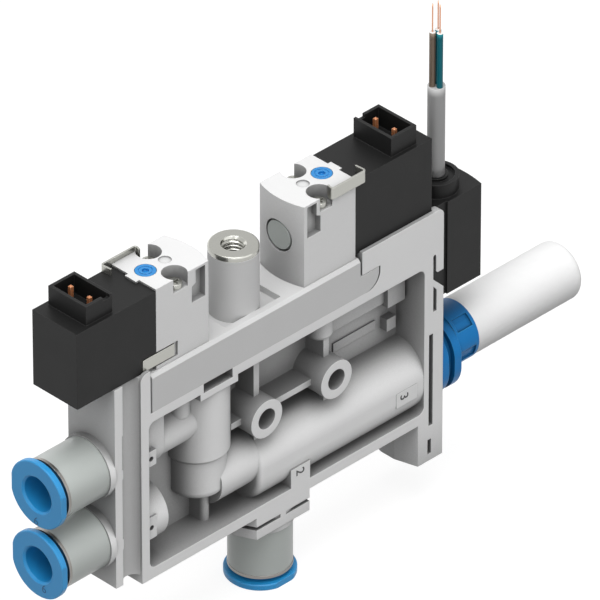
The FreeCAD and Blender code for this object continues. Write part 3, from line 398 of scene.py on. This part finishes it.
# Bare copper strands: paler, with a bright gloss
COPPER_STRAND = Finish(
    "drawn_bare_copper", "#D9A284", "#D09878", "#EFC4AC", 0.3, Making.EXTRUDED,
    grain=0.1, relief=0.001, rounding=0.03, metallic=1.0,
)
# Nitrile gaskets and lip seals: dull black
NITRILE = Finish("moulded_nitrile_black", "#1E1E1E", "#1A1A1A", "#2E2E2E", 0.7, relief=0.003)
# Sintered polyethylene: white, chalky, its fine pores drawn at half a millimetre so that they show
SINTERED_WHITE = Finish(
    "sintered_polyethylene_white", "#F2F2F2", "#EBEBEB", "#F8F8F8", 0.75, Making.SINTERED,
    grain=0.45, relief=0.03, rounding=0.3,
)
# PVC jacket and core insulation, extruded: faint lines along the lead
PVC_JACKET = Finish(
    "extruded_pvc_grey", "#9A9A9A", "#949494", "#B4B4B4", 0.45, Making.EXTRUDED,
    grain=0.25, relief=0.006, rounding=0.1,
)
PVC_BROWN = Finish(
    "extruded_pvc_brown", "#6B5C4E", "#645547", "#8A7A6A", 0.4, Making.EXTRUDED,
    grain=0.2, relief=0.003, rounding=0.05,
)
PVC_TEAL = Finish(
    "extruded_pvc_teal", "#00606C", "#005965", "#1E8690", 0.45, Making.EXTRUDED,
    grain=0.2, relief=0.003, rounding=0.05, specular=0.25,
)
# The cut ends of the cores are white: a painted highlight for the gloss on their cut faces.
# The jacket's cut end is a lighter grey than the jacket
PVC_CUT = Finish(
    "cut_pvc_painted_highlight", "#EDEDED", "#E6E6E6", "#FFFFFF", 0.5, relief=0.001, rounding=0.03
)
PVC_CUT_GREY = Finish(
    "cut_pvc_grey", "#B6B6B6", "#B0B0B0", "#C6C6C6", 0.5, relief=0.001, rounding=0.03
)
# Pad printed numbers
INK_BLACK = Finish(
    "printed_ink_black", "#202020", "#1C1C1C", "#262626", 0.5, relief=0.001, rounding=0.01
)
INK_BLUE = Finish(
    "printed_ink_deep_blue", "#14608F", "#125A87", "#1A6A9C", 0.5, relief=0.001, rounding=0.01
)


def mesh_piece(
    name: str,
    points: np.ndarray,
    faces: list[list[int]],
    finishes: list[Finish],
    which: list[int] | None = None,
    smooth: bool = True,
) -> bpy.types.Object:
    """Puts worked out points and faces into an object at the origin.

    Args:
        name: the piece's name.
        points: array of points in millimetres.
        faces: index lists.
        finishes: the finishes of its material slots.
        which: slot number of each face, all zero if not given.
        smooth: whether the faces are shaded smooth.

    Returns:
        The new object.
    """
    mesh = bpy.data.meshes.new(name)
    mesh.from_pydata((np.asarray(points) * MM).tolist(), [], faces)
    for finish in finishes:
        mesh.materials.append(finish.material())
    mesh.polygons.foreach_set("use_smooth", np.full(len(faces), smooth))
    if which is not None:
        mesh.polygons.foreach_set("material_index", np.asarray(which, dtype=np.int32))
    mesh.validate()
    mesh.update()
    piece = bpy.data.objects.new(name, mesh)
    bpy.context.scene.collection.objects.link(piece)
    LOG.info("%s: %d faces", name, len(faces))
    return piece


def grid_faces(rows: int, columns: int) -> list[list[int]]:
    """Quads of a grid whose columns close round.

    Args:
        rows: number of rows.
        columns: number of columns in each closed row.

    Returns:
        Lists of four indices, facing outwards for rows that go up and columns that go
        anticlockwise.
    """
    row = np.arange(rows - 1)[:, None] * columns
    column = np.arange(columns)[None, :]
    after = (column + 1) % columns
    above = row + columns
    quads = np.stack([row + column, row + after, above + after, above + column], axis=-1)
    return quads.reshape(-1, 4).tolist()


def end_fans(count: int, columns: int) -> list[list[int]]:
    """Triangles that close the first and the last row of a grid, each to a point of its own.

    Args:
        count: number of the grid's points, which the two middle points follow.
        columns: number of columns in each closed row.

    Returns:
        Lists of three indices, first those of the first row.
    """
    last = count - columns
    near = [[count, (k + 1) % columns, k] for k in range(columns)]
    return near + [[count + 1, last + k, last + (k + 1) % columns] for k in range(columns)]


def turned_surface(profile: np.ndarray, columns: int) -> np.ndarray:
    """Points of a profile turned round the Z axis.

    A profile point (r, z) at the angle a goes to (r cos a, r sin a, z).

    Args:
        profile: array of radius and height in millimetres.
        columns: number of angles.

    Returns:
        Array of rows by columns by three.
    """
    angle = np.arange(columns) * 2 * math.pi / columns
    radius = profile[:, :1]
    height = np.broadcast_to(profile[:, 1:], (len(profile), columns))
    return np.stack([radius * np.cos(angle), radius * np.sin(angle), height], axis=-1)


def smooth_noise(
    rows: int, columns: int, coarse_rows: int, coarse_columns: int, seed: int
) -> np.ndarray:
    """Random values on a coarse grid, blended by cosine weights onto a fine one that closes round.

    Args:
        rows: fine rows.
        columns: fine columns, which wrap.
        coarse_rows: random rows.
        coarse_columns: random columns, which wrap too.
        seed: seed of the draw.

    Returns:
        Array of rows by columns, from minus one to one.
    """
    draw = np.random.default_rng(seed).uniform(-1, 1, (coarse_rows + 1, coarse_columns))
    up = np.linspace(0, coarse_rows - 1e-6, rows)
    round_ = np.arange(columns) * coarse_columns / columns
    low, left = up.astype(int), round_.astype(int)
    rise = (1 - np.cos((up - low) * math.pi))[:, None] / 2
    run = (1 - np.cos((round_ - left) * math.pi))[None, :] / 2
    right = (left + 1) % coarse_columns
    lower = draw[low][:, left] * (1 - run) + draw[low][:, right] * run
    upper = draw[low + 1][:, left] * (1 - run) + draw[low + 1][:, right] * run
    return lower * (1 - rise) + upper * rise


@dataclass
class PhotoCamera:
    """The camera of the photograph, looking down on the front left corner."""

    target: tuple[float, float, float] = (5.31, 0.0, 13.82)
    azimuth: float = -44.75
    elevation: float = 34.37
    distance: float = 1928.5
    lens: float = 725.52
    sensor: float = 36.0

    def build(self) -> bpy.types.Object:
        """Makes the camera and sets it as the scene's own.

        Returns:
            The camera.
        """
        turn, rise = math.radians(self.azimuth), math.radians(self.elevation)
        level = math.cos(rise)
        back = Vector((math.sin(turn) * level, -math.cos(turn) * level, math.sin(rise)))
        data = bpy.data.cameras.new("photo_camera")
        data.lens, data.sensor_width = self.lens, self.sensor
        camera = bpy.data.objects.new("photo_camera", data)
        camera.location = (Vector(self.target) + back * self.distance) * MM
        camera.rotation_euler = back.to_track_quat("Z", "Y").to_euler()
        bpy.context.scene.collection.objects.link(camera)
        bpy.context.scene.camera = camera
        return camera


@dataclass
class SensorLead:
    """The sensor's short lead: a grey jacket, three cores and their bare strands.

    It stands straight up out of the gland, cut off and stripped at its end, as the photograph
    shows it.
    """

    foot: tuple[float, float, float] = (36.0, 0.0, 23.8)
    jacket_end: float = 16.8
    core_end: float = 27.1
    strand_end: float = 32.4
    jacket_radius: float = 1.46
    core_radius: float = 0.52
    core_pitch: float = 0.72
    strand_radius: float = 0.12
    core_angles: tuple[float, float, float] = (0.5, 2.6, 4.7)
    lines: int = 22
    line_depth: float = 0.012
    first_stop: float = 5.4
    core_root: float = 0.6
    strand_root: float = 0.3
    end_share: float = 0.85
    columns: int = 40
    stations: int = 12

    def route(self) -> np.ndarray:
        """The lead's line, read from a NURBS spline through its control points.

        Returns:
            The line's points in millimetres, from the gland to the tips.
        """
        x, y, z = self.foot
        stops = [
            (x, y, z),
            (x, y, z + self.first_stop),
            (x, y, z + self.jacket_end),
            (x, y, z + self.core_end),
            (x, y, z + self.strand_end),
        ]
        curve = bpy.data.curves.new("lead_route", "CURVE")
        curve.dimensions = "3D"
        curve.resolution_u = 16
        spline = curve.splines.new("NURBS")
        spline.points.add(len(stops) - 1)
        for point, stop in zip(spline.points, stops):
            point.co = (*(value * MM for value in stop), 1.0)
        spline.order_u = 3
        spline.use_endpoint_u = True
        holder = bpy.data.objects.new("lead_route", curve)
        bpy.context.scene.collection.objects.link(holder)
        bpy.context.view_layer.update()
        line = bpy.data.meshes.new_from_object(holder)
        path = np.array([vertex.co for vertex in line.vertices]) / MM
        bpy.data.meshes.remove(line)
        bpy.data.objects.remove(holder)
        return path

    def grooves(self, angle: np.ndarray) -> np.ndarray:
        """Faint lines along the jacket: depth times the cosine of their count times the angle."""
        return self.line_depth * np.cos(angle * self.lines)

    def tube(
        self,
        path: np.ndarray,
        start: float,
        end: float,
        radius: float,
        angle: float,
        pitch: float,
        ripple: Callable[[np.ndarray], np.ndarray],
    ) -> tuple[np.ndarray, list[list[int]], list[int]]:
        """A closed tube beside the route: its points at the route's stations between start and end.

        The station at the length s lies at route(s) + pitch (cos angle, sin angle, 0), and its
        ring has the radius + ripple(a) at the angle a. Both ends close with a narrower ring and
        a middle point.

        Args:
            path: the route's points in millimetres.
            start: length along the route where the tube starts.
            end: length where it ends.
            radius: the tube's radius.
            angle: direction in which it lies beside the route.
            pitch: how far it lies beside the route.
            ripple: function that adds to the radius round the ring.

        Returns:
            The points, the faces, and for each face whether it belongs to the far end.
        """
        columns = self.columns
        length = np.concatenate([[0], np.cumsum(np.linalg.norm(np.diff(path, axis=0), axis=1))])
        stations = np.linspace(start, end, self.stations)
        middle = np.stack([np.interp(stations, length, path[:, k]) for k in range(3)], axis=1)
        middle += np.array([math.cos(angle), math.sin(angle), 0]) * pitch
        middle = np.concatenate([middle[:1], middle, middle[-1:]])
        spread = np.concatenate([[self.end_share], np.ones(self.stations), [self.end_share]])
        round_ = np.arange(columns) * 2 * math.pi / columns
        reach = radius * spread[:, None] + ripple(round_)[None, :] * (spread[:, None] == 1)
        ring = np.stack([np.cos(round_), np.sin(round_), np.zeros(columns)], axis=1)
        points = middle[:, None, :] + reach[:, :, None] * ring[None, :, :]
        faces = grid_faces(len(middle), columns)
        far = [0] * (len(faces) - columns) + [1] * columns + [0] * columns + [1] * columns
        faces += end_fans(len(middle) * columns, columns)
        return np.concatenate([points.reshape(-1, 3), middle[:1], middle[-1:]]), faces, far

    def build(self) -> bpy.types.Object:
        """Makes the whole lead as one piece that follows its route.

        Returns:
            The lead.
        """
        path = self.route()
        core_start = self.jacket_end - self.core_root
        strand_start = self.core_end - self.strand_root
        core, strand = LeadPart.CORE_CUT, LeadPart.STRAND
        shape = (0, self.jacket_end, self.jacket_radius, 0.0, 0.0)
        tubes = [(*shape, self.grooves, LeadPart.JACKET, LeadPart.JACKET_CUT)]
        for angle, side in zip(self.core_angles, (LeadPart.TEAL, LeadPart.BROWN, LeadPart.TEAL)):
            shape = (core_start, self.core_end, self.core_radius, angle, self.core_pitch)
            tubes.append((*shape, np.zeros_like, side, core))
        for angle in self.core_angles:
            shape = (strand_start, self.strand_end, self.strand_radius, angle, self.core_pitch)
            tubes.append((*shape, np.zeros_like, strand, strand))
        points, faces, which, first_point = [], [], [], 0
        for *shape, side, cut in tubes:
            some, some_faces, far = self.tube(path, *shape)
            points.append(some)
            faces += [[first_point + k for k in face] for face in some_faces]
            which += [cut if at_end else side for at_end in far]
            first_point += len(some)
        finishes = [PVC_JACKET, PVC_BROWN, PVC_TEAL, COPPER_STRAND, PVC_CUT, PVC_CUT_GREY]
        lead = mesh_piece("sensor_lead", np.concatenate(points), faces, finishes, which)
        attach(lead, "ejector")
        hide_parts("sensor_cable", "cable_cores", "cable_strands")
        return lead


@dataclass
class PorousSilencer:
    """The silencer: a white sintered sleeve with a rounded end, and a neck inside the adapter."""

    start: float = 41.0
    axis_height: float = -8.8
    neck_length: float = 4.4
    neck_radius: float = 4.25
    radius: float = 5.17
    length: float = 24.5
    end_round: float = 1.2
    grain: float = 0.42
    relief: float = 0.014
    highest_grain: float = 0.02
    end_grain_share: float = 0.6
    edge: float = 0.1
    pole_radius: float = 0.3
    columns: int = 192
    side_rows: int = 120
    corner_rows: int = 9
    end_rows: int = 14

    def profile(self) -> tuple[np.ndarray, np.ndarray]:
        """The silencer's outline, from the hidden end of its neck to the middle of its face.

        Returns:
            Radius and place along the axis of each point, and how much of the grain it takes.
        """
        turn = np.linspace(0, math.pi / 2, self.corner_rows)
        corner = np.stack(
            [
                self.radius - self.end_round * (1 - np.cos(turn)),
                self.length - self.end_round * (1 - np.sin(turn)),
            ],
            axis=1,
        )
        along = np.linspace(self.edge, self.length - self.end_round, self.side_rows)[:-1]
        side = np.stack([np.full(len(along), self.radius), along], axis=1)
        inward = np.linspace(self.radius - self.end_round, self.pole_radius, self.end_rows)[1:]
        face = np.stack([inward, np.full(len(inward), self.length)], axis=1)
        neck = np.array(
            [
                (self.pole_radius, -self.neck_length),
                (self.neck_radius, -self.neck_length),
                (self.neck_radius, 0.0),
                (self.radius - self.edge, 0.0),
            ]
        )
        rows = np.concatenate([neck, side, corner, face])
        smooth, grainy = np.zeros(len(neck)), np.ones(len(side) + len(corner))
        return rows, np.concatenate([smooth, grainy, np.full(len(face), self.end_grain_share)])

    def build(self) -> bpy.types.Object:
        """Turns the profile about the X axis and lays the grain on it.

        A point (r, s) at the angle a goes to (start + s, r cos a, height + r sin a), and the
        grain moves r by relief times the sum of a coarse and a fine smooth random value.

        Returns:
            The silencer.
        """
        rows, weight = self.profile()
        around = 2 * math.pi * self.radius
        coarse = (int(self.length / self.grain), int(around / self.grain))
        rough = smooth_noise(len(rows), self.columns, *coarse, SEED)
        rough += 0.5 * smooth_noise(len(rows), self.columns, coarse[0] * 2, coarse[1] * 2, SEED + 1)
        angle = np.arange(self.columns) * 2 * math.pi / self.columns
        reach = rows[:, :1] + np.minimum(rough * self.relief, self.highest_grain) * weight[:, None]
        points = np.stack(
            [
                np.broadcast_to(self.start + rows[:, 1:], reach.shape),
                reach * np.cos(angle),
                self.axis_height + reach * np.sin(angle),
            ],
            axis=-1,
        )
        points = points.reshape(-1, 3)
        faces = grid_faces(len(rows), self.columns) + end_fans(len(points), self.columns)
        ends = (self.start - self.neck_length, self.start + self.length)
        points = np.concatenate([points, [(end, 0, self.axis_height) for end in ends]])
        piece = mesh_piece("porous_silencer", points, faces, [SINTERED_WHITE])
        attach(piece, "ejector")
        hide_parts("silencer")
        return piece


@dataclass
class ThreadedBush:
    """The metal bush in the boss, with its inner thread cut as a helix."""

    centre: tuple[float, float] = (-9.5, 0.0)
    top: float = 31.8
    rim_radius: float = 4.15
    rim: float = 0.9
    sleeve_radius: float = 3.2
    depth: float = 9.0
    mouth: float = 2.08
    crest: float = 1.65
    thread_depth: float = 0.35
    pitch: float = 0.7
    countersink: float = 0.4
    thread_flat: float = 0.25
    chamfer: float = 0.25
    chamfer_bend: tuple[float, float] = (0.1, 0.06)
    mouth_edge: float = 0.03
    thread_stop: float = 0.05
    rows_per_turn: int = 12
    columns: int = 96

    def build(self) -> bpy.types.Object:
        """Turns the outside, and works the thread out as a helix.

        Inside, the radius at the height z and angle a is the crest plus the depth times a
        triangle wave of z / pitch minus a / 2 pi, cut flat at its top and foot. It starts under
        the countersink, and its last row joins the first one of the outside.

        Returns:
            The bush.
        """
        angle = np.arange(self.columns) * 2 * math.pi / self.columns
        outside = np.array(
            [
                (self.crest + self.thread_depth, -self.depth),
                (self.sleeve_radius, -self.depth),
                (self.sleeve_radius, -self.rim),
                (self.rim_radius, -self.rim),
                (self.rim_radius, -self.chamfer),
                (self.rim_radius - self.chamfer_bend[0], -self.chamfer_bend[1]),
                (self.rim_radius - self.chamfer, 0.0),
                (self.mouth + self.mouth_edge, 0.0),
                (self.mouth, -self.mouth_edge),
            ]
        )
        shell = turned_surface(outside, self.columns)
        step = self.pitch / self.rows_per_turn
        height = np.arange(-self.countersink, -self.depth + self.thread_stop, -step)[:, None]
        wave = np.abs(((height / self.pitch - angle / (2 * math.pi)) % 1.0) * 2 - 1)
        flat_topped = np.clip(wave * (1 + 2 * self.thread_flat) - self.thread_flat, 0, 1)
        radius = self.crest + self.thread_depth * flat_topped
        height = np.broadcast_to(height, radius.shape)
        thread = np.stack([radius * np.cos(angle), radius * np.sin(angle), height], axis=-1)
        rows = np.concatenate([shell, thread])
        points = rows.reshape(-1, 3) + np.array([*self.centre, self.top])
        loop = grid_faces(len(rows) + 1, self.columns)
        faces = [[k % len(points) for k in face] for face in loop]
        piece = mesh_piece("threaded_bush_cut", points, faces, [STEEL_TURNED], smooth=False)
        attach(piece, "ejector")
        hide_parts("threaded_bush")
        return piece


@dataclass(frozen=True)
class ValveSide:
    """Where one valve stands: its pieces are drawn for the right one and turned round for the left.

    Args:
        name: the valve's name, as its nodes carry it.
        sign: 1 for the right valve, minus 1 for the left one.
        middle: X of the axis that both valves are turned about.
    """

    name: str
    sign: int
    middle: float = -9.32

    def place(self, points: np.ndarray) -> np.ndarray:
        """Turns points about the upright axis: x goes to middle + sign x, and y to sign y."""
        x, y, z = points.T
        return np.stack([self.middle + self.sign * x, self.sign * y, z], axis=1)


@dataclass
class SpringClip:
    """A valve's upper clip: a strip of sheet with round bends and a curled end in the screw's well.

    It hangs low beside the valve, and past the middle of its last bend only its upper part goes
    on, over the solenoid.
    """

    side: ValveSide
    stops: tuple[tuple[float, float], ...] = (
        (16.95, -4.0), (16.6, -5.175), (24.125, -5.175), (23.98, -3.1)
    )
    bend: float = 0.4
    sheet: float = 0.3
    low: float = 34.6
    over: float = 35.58
    high: float = 36.78
    steps: int = 8

    def line(self) -> np.ndarray:
        """The sheet's middle line from above, with an arc of the bend's radius in each corner.

        A corner turned by t is cut off by bend tan(t / 2) on both sides, and the arc runs
        between the cuts.

        Returns:
            The line's points in millimetres.
        """
        stops = [np.array(stop) for stop in self.stops]
        points = [stops[0]]
        for before, corner, after in zip(stops, stops[1:], stops[2:]):
            into = (corner - before) / np.linalg.norm(corner - before)
            out = (after - corner) / np.linalg.norm(after - corner)
            turn = math.acos(float(np.clip(into @ out, -1, 1)))
            side = math.copysign(1.0, into[0] * out[1] - into[1] * out[0])
            first = corner - into * self.bend * math.tan(turn / 2)
            centre = first + side * self.bend * np.array([-into[1], into[0]])
            x, y = first - centre
            for step in range(self.steps + 1):
                angle = side * turn * step / self.steps
                cos, sin = math.cos(angle), math.sin(angle)
                points.append(centre + np.array([x * cos - y * sin, x * sin + y * cos]))
        return np.array(points + [stops[-1]])

    def build(self) -> bpy.types.Object:
        """Gives the line its thickness and height, with four points at each of its stations.

        Returns:
            The clip.
        """
        line = self.line()
        along = np.gradient(line, axis=0)
        along /= np.linalg.norm(along, axis=1, keepdims=True)
        across = np.stack([-along[:, 1], along[:, 0]], axis=1) * self.sheet / 2
        count = len(line)
        low = np.where(np.arange(count) > count - 2 - self.steps // 2, self.over, self.low)
        rows = []
        for spot, aside, bottom in zip(line, across, low):
            outer, inner = spot - aside, spot + aside
            rows += [(*inner, bottom), (*outer, bottom), (*outer, self.high), (*inner, self.high)]
        faces = []
        for one in range(0, 4 * (count - 1), 4):
            two = one + 4
            faces += [[one + k, two + k, two + (k + 1) % 4, one + (k + 1) % 4] for k in range(4)]
        faces += [[0, 1, 2, 3], [4 * count - 1 - k for k in range(4)]]
        points = self.side.place(np.array(rows))
        name = f"{self.side.name}_spring_clip"
        piece = mesh_piece(name, points, faces, [STEEL_BRUSHED], smooth=False)
        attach(piece, "ejector")
        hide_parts(f"{self.side.name}_upper_clip")
        return piece


@dataclass
class GroovedPlug:
    """A valve's end plug, with the dark gap round its face."""

    side: ValveSide
    face: float = 9.85
    axis_height: float = 28.65
    radius: float = 2.79
    face_radius: float = 2.55
    groove: float = 0.8
    length: float = 2.6
    edge: float = 0.08
    columns: int = 72

    def build(self) -> bpy.types.Object:
        """Turns the outline about the plug's axis.

        A point (r, s) at the angle a goes to (face + s, r cos a, height + r sin a).

        Returns:
            The plug.
        """
        outline = np.array(
            [
                (self.face_radius - self.edge, 0.0),
                (self.face_radius, self.edge),
                (self.face_radius, self.groove),
                (self.radius, self.groove),
                (self.radius, self.length),
            ]
        )
        y, z, x = turned_surface(outline, self.columns).reshape(-1, 3).T
        points = np.stack([self.face + x, y, self.axis_height + z], axis=1)
        faces = grid_faces(len(outline), self.columns) + end_fans(len(points), self.columns)
        poles = [(self.face, 0, self.axis_height), (self.face + self.length, 0, self.axis_height)]
        points = self.side.place(np.concatenate([points, poles]))
        name = f"{self.side.name}_grooved_plug"
        piece = mesh_piece(name, points, faces, [PBT_PLUG], smooth=False)
        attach(piece, "ejector")
        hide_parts(f"{self.side.name}_end_plug")
        return piece


@dataclass
class PlainNumber:
    """A plain number laid on a face, as the ports and rings carry them."""

    name: str
    digits: str
    middle: tuple[float, float, float]
    right: tuple[float, float, float]
    up: tuple[float, float, float]
    height: float
    finish: Finish
    body: str
    slot: str
    thickness: float = 0.03

    def build(self) -> bpy.types.Object:
        """Draws the digits flat, makes them a mesh and puts its points in place.

        A flat point (u, v, w) from the digits' middle goes to middle + u right + v up + w out.

        Returns:
            The number.
        """
        words = bpy.data.curves.new(self.name, "FONT")
        words.body = self.digits
        words.align_x, words.align_y = "CENTER", "CENTER"
        words.size = self.height / DIGIT_SHARE * MM
        words.extrude = self.thickness * MM / 2
        holder = bpy.data.objects.new(self.name, words)
        bpy.context.scene.collection.objects.link(holder)
        bpy.context.view_layer.update()
        drawn = holder.evaluated_get(bpy.context.evaluated_depsgraph_get())
        mesh = bpy.data.meshes.new_from_object(drawn)
        bpy.data.objects.remove(holder)
        flat = np.array([vertex.co for vertex in mesh.vertices])
        flat[:, :2] -= (flat[:, :2].max(axis=0) + flat[:, :2].min(axis=0)) / 2
        right, up = np.array(self.right), np.array(self.up)
        across, along, through = flat[:, :1], flat[:, 1:2], flat[:, 2:]
        placed = np.array(self.middle) * MM + across * right + along * up
        placed = placed + through * np.cross(right, up)
        mesh.vertices.foreach_set("co", placed.astype(np.float32).ravel())
        mesh.materials.clear()
        mesh.materials.append(self.finish.material())
        mesh.update()
        piece = bpy.data.objects.new(self.name, mesh)
        bpy.context.scene.collection.objects.link(piece)
        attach(piece, self.body)
        LOG.info("%s: number %s", self.name, self.digits)
        return piece


@dataclass
class CarriedNodes:
    """The CAD nodes with their finishes, also those that a detailed piece replaces."""

    exact: dict[str, Finish] = field(
        default_factory=lambda: {
            "housing": NYLON_HOUSING,
            "valve_manifold": NYLON_BAR,
            "threaded_bush": STEEL_TURNED,
            "silencer_adapter": ACETAL_ADAPTER_SHADED,
            "silencer": SINTERED_WHITE,
            "pressure_sensor": NYLON_BLACK,
            "sensor_cable": PVC_JACKET,
            "cable_cores": PVC_BROWN,
            "cable_strands": COPPER_STRAND,
            "jet_nozzle": COPPER_PIN,
            "receiver_nozzle": COPPER_PIN,
            "vacuum_filter": SINTERED_WHITE,
            "check_valve_disc": NITRILE,
        }
    )
    endings: dict[str, Finish] = field(
        default_factory=lambda: {
            "_valve_body": PBT_VALVE,
            "_valve_seal": NITRILE,
            "_end_plug": PBT_PLUG,
            "_spool": STEEL_TURNED,
            "_solenoid": NYLON_BLACK,
            "_contact_pins": COPPER_PIN,
            "_override": ACETAL_BLUE,
            "_valve_screws": STEEL_TURNED,
            "_lower_clip": STEEL_BRUSHED,
            "_upper_clip": STEEL_BRUSHED,
            "_fitting": PBT_GREY,
            "_tube_seal": NITRILE,
            "_collet": STEEL_BRUSHED,
            "_end_ring": STEEL_RING,
            "_release_ring": ACETAL_RING,
        }
    )

    def finish(self, node: str) -> Finish:
        """The finish of one node, by its name or its ending."""
        by_ending = (finish for ending, finish in self.endings.items() if node.endswith(ending))
        return self.exact.get(node) or next(by_ending)

    def dress(self, nodes: dict[str, bpy.types.Object]) -> None:
        """Puts each node's finish into its material slots.

        Args:
            nodes: the CAD nodes by their names.
        """
        for name, node in nodes.items():
            made = self.finish(name).material()
            if not node.material_slots:
                node.data.materials.append(made)
            for slot in node.material_slots:
                slot.material = made
            LOG.info("%s: %s", name, made.name)


@dataclass(frozen=True)
class SoftLamp:
    """One square soft lamp that faces the object.

    Args:
        name: the lamp's name.
        toward: direction from the object to the lamp.
        size: side of the square in millimetres.
        share: light that it throws on a face turned to it, as a share of a white surface's.
        distance: distance from the object in millimetres.
    """

    name: str
    toward: tuple[float, float, float]
    size: float
    share: float
    distance: float = 900.0

    def build(self) -> bpy.types.Object:
        """Makes the lamp, with a power that grows with its distance squared, so the share holds.

        Returns:
            The lamp.
        """
        toward = Vector(self.toward).normalized()
        data = bpy.data.lights.new(self.name, "AREA")
        data.shape, data.size = "SQUARE", self.size * MM
        data.energy = math.pi**2 * self.share * (self.distance * MM) ** 2
        lamp = bpy.data.objects.new(self.name, data)
        lamp.location = toward * self.distance * MM
        lamp.rotation_euler = toward.to_track_quat("Z", "Y").to_euler()
        bpy.context.scene.collection.objects.link(lamp)
        return lamp


@dataclass
class Studio:
    """A pale floor under the part, an even sky, and four soft lamps round the object."""

    floor_height: float
    sky: float = 0.3
    floor_side: float = 30000.0
    floor_glow: float = 0.86
    floor_seen: str = "#808080"
    floor_bounce: str = "#505050"
    lamps: tuple[SoftLamp, ...] = (
        SoftLamp("overhead_lamp", (-0.2, -0.15, 1.0), 700.0, 0.92),
        SoftLamp("front_lamp", (-0.1, -1.0, 0.12), 1600.0, 0.9),
        SoftLamp("side_lamp", (-1.0, -0.2, 0.15), 1200.0, 0.28),
        SoftLamp("back_lamp", (0.2, 1.0, 0.0), 900.0, 0.3),
    )

    def build(self) -> None:
        """Makes the floor, the sky and the lamps."""
        self.floor()
        self.world()
        for lamp in self.lamps:
            lamp.build()

    def seen(self, tree: bpy.types.NodeTree) -> bpy.types.NodeSocket:
        """One where a ray comes from the camera, straight or by a reflection, else zero.

        Args:
            tree: the nodes of the floor or the sky.

        Returns:
            The socket of that number.
        """
        rays = add_node(tree, "ShaderNodeLightPath").outputs
        seen = rays["Is Camera Ray"]
        for kind in ("Is Glossy Ray", "Is Transmission Ray"):
            terms = {0: seen, 1: rays[kind]}
            seen = add_node(tree, "ShaderNodeMath", terms, operation="ADD").outputs[0]
        return seen

    def floor(self) -> None:
        """A matt floor that the camera sees almost white, with a faint shadow."""
        half = self.floor_side / 2
        signs = ((-1, -1), (1, -1), (1, 1), (-1, 1))
        corners = np.array([(half * x, half * y, self.floor_height) for x, y in signs])
        made = bpy.data.materials.new("painted_floor")
        made.use_nodes = True
        tree = made.node_tree
        tree.nodes.clear()
        seen = self.seen(tree)
        matt = add_node(tree, "ShaderNodeBsdfDiffuse", {"Color": linear(self.floor_bounce)})
        dim = add_node(tree, "ShaderNodeBsdfDiffuse", {"Color": linear(self.floor_seen)})
        glow = add_node(
            tree, "ShaderNodeEmission", {"Color": linear("#FFFFFF"), "Strength": self.floor_glow}
        )
        pale = add_node(tree, "ShaderNodeAddShader", {0: dim.outputs[0], 1: glow.outputs[0]})
        shaders = {0: seen, 1: matt.outputs[0], 2: pale.outputs[0]}
        mixed = add_node(tree, "ShaderNodeMixShader", shaders)
        add_node(tree, "ShaderNodeOutputMaterial", {"Surface": mixed.outputs[0]})
        mesh = bpy.data.meshes.new("studio_floor")
        mesh.from_pydata((corners * MM).tolist(), [], [[0, 1, 2, 3]])
        mesh.materials.append(made)
        plane = bpy.data.objects.new("studio_floor", mesh)
        bpy.context.scene.collection.objects.link(plane)

    def world(self) -> None:
        """An even sky that lights the object plainly and shows white to the camera."""
        world = bpy.data.worlds.new("studio_sky")
        world.use_nodes = True
        tree = world.node_tree
        tree.nodes.clear()
        seen = self.seen(tree)
        strength = add_node(
            tree, "ShaderNodeMapRange", {"Value": seen, "To Min": self.sky, "To Max": 1.0}
        ).outputs[0]
        sky = add_node(
            tree, "ShaderNodeBackground", {"Color": linear("#FFFFFF"), "Strength": strength}
        )
        add_node(tree, "ShaderNodeOutputWorld", {"Surface": sky.outputs[0]})
        bpy.context.scene.world = world


def port_numbers() -> list[PlainNumber]:
    """The numbers of the vacuum and exhaust ports, and the tube size on the rings.

    Returns:
        The four numbers.
    """
    turned = {"right": (0.0, 0.0, -1.0), "up": (1.0, 0.0, 0.0)}
    against_x = {"right": (0.0, -1.0, 0.0), "up": (0.0, 0.0, 1.0)}
    ports = [
        PlainNumber(
            f"port_number_{digit}", digit, (x, FRONT_FACE, z), **turned, height=1.8,
            finish=INK_BLACK, body="ejector", slot="housing",
        )
        for digit, x, z in (("2", -0.3, -13.92), ("3", 23.3, -10.87))
    ]
    sizes = [
        PlainNumber(
            f"{ring}_ring_size", "6", (RING_FACE, y, z), **against_x, height=1.5,
            finish=INK_BLUE, body=f"{ring}_ring", slot="blue",
        )
        for ring, y, z in (("supply", -1.45, -12.65), ("pulse", 0.15, -0.29))
    ]
    return ports + sizes


def main() -> None:
    """Builds the camera, the lead, the finishes, the other pieces and the studio in order."""
    logging.basicConfig(level=logging.INFO, format="%(name)s: %(message)s")
    bpy.context.scene.view_settings.view_transform = "Standard"
    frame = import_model()
    PhotoCamera().build()
    SensorLead().build()
    CarriedNodes().dress(frame["nodes"])
    PorousSilencer().build()
    ThreadedBush().build()
    for side in (ValveSide("supply", -1), ValveSide("pulse", 1)):
        SpringClip(side).build()
        GroovedPlug(side).build()
    for number in port_numbers():
        number.build()
    lowest = min(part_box(name)[0].z for name in frame["nodes"]) / MM
    Studio(floor_height=lowest).build()
    LOG.info("all pieces built")


if __name__ == "__main__":
    main()
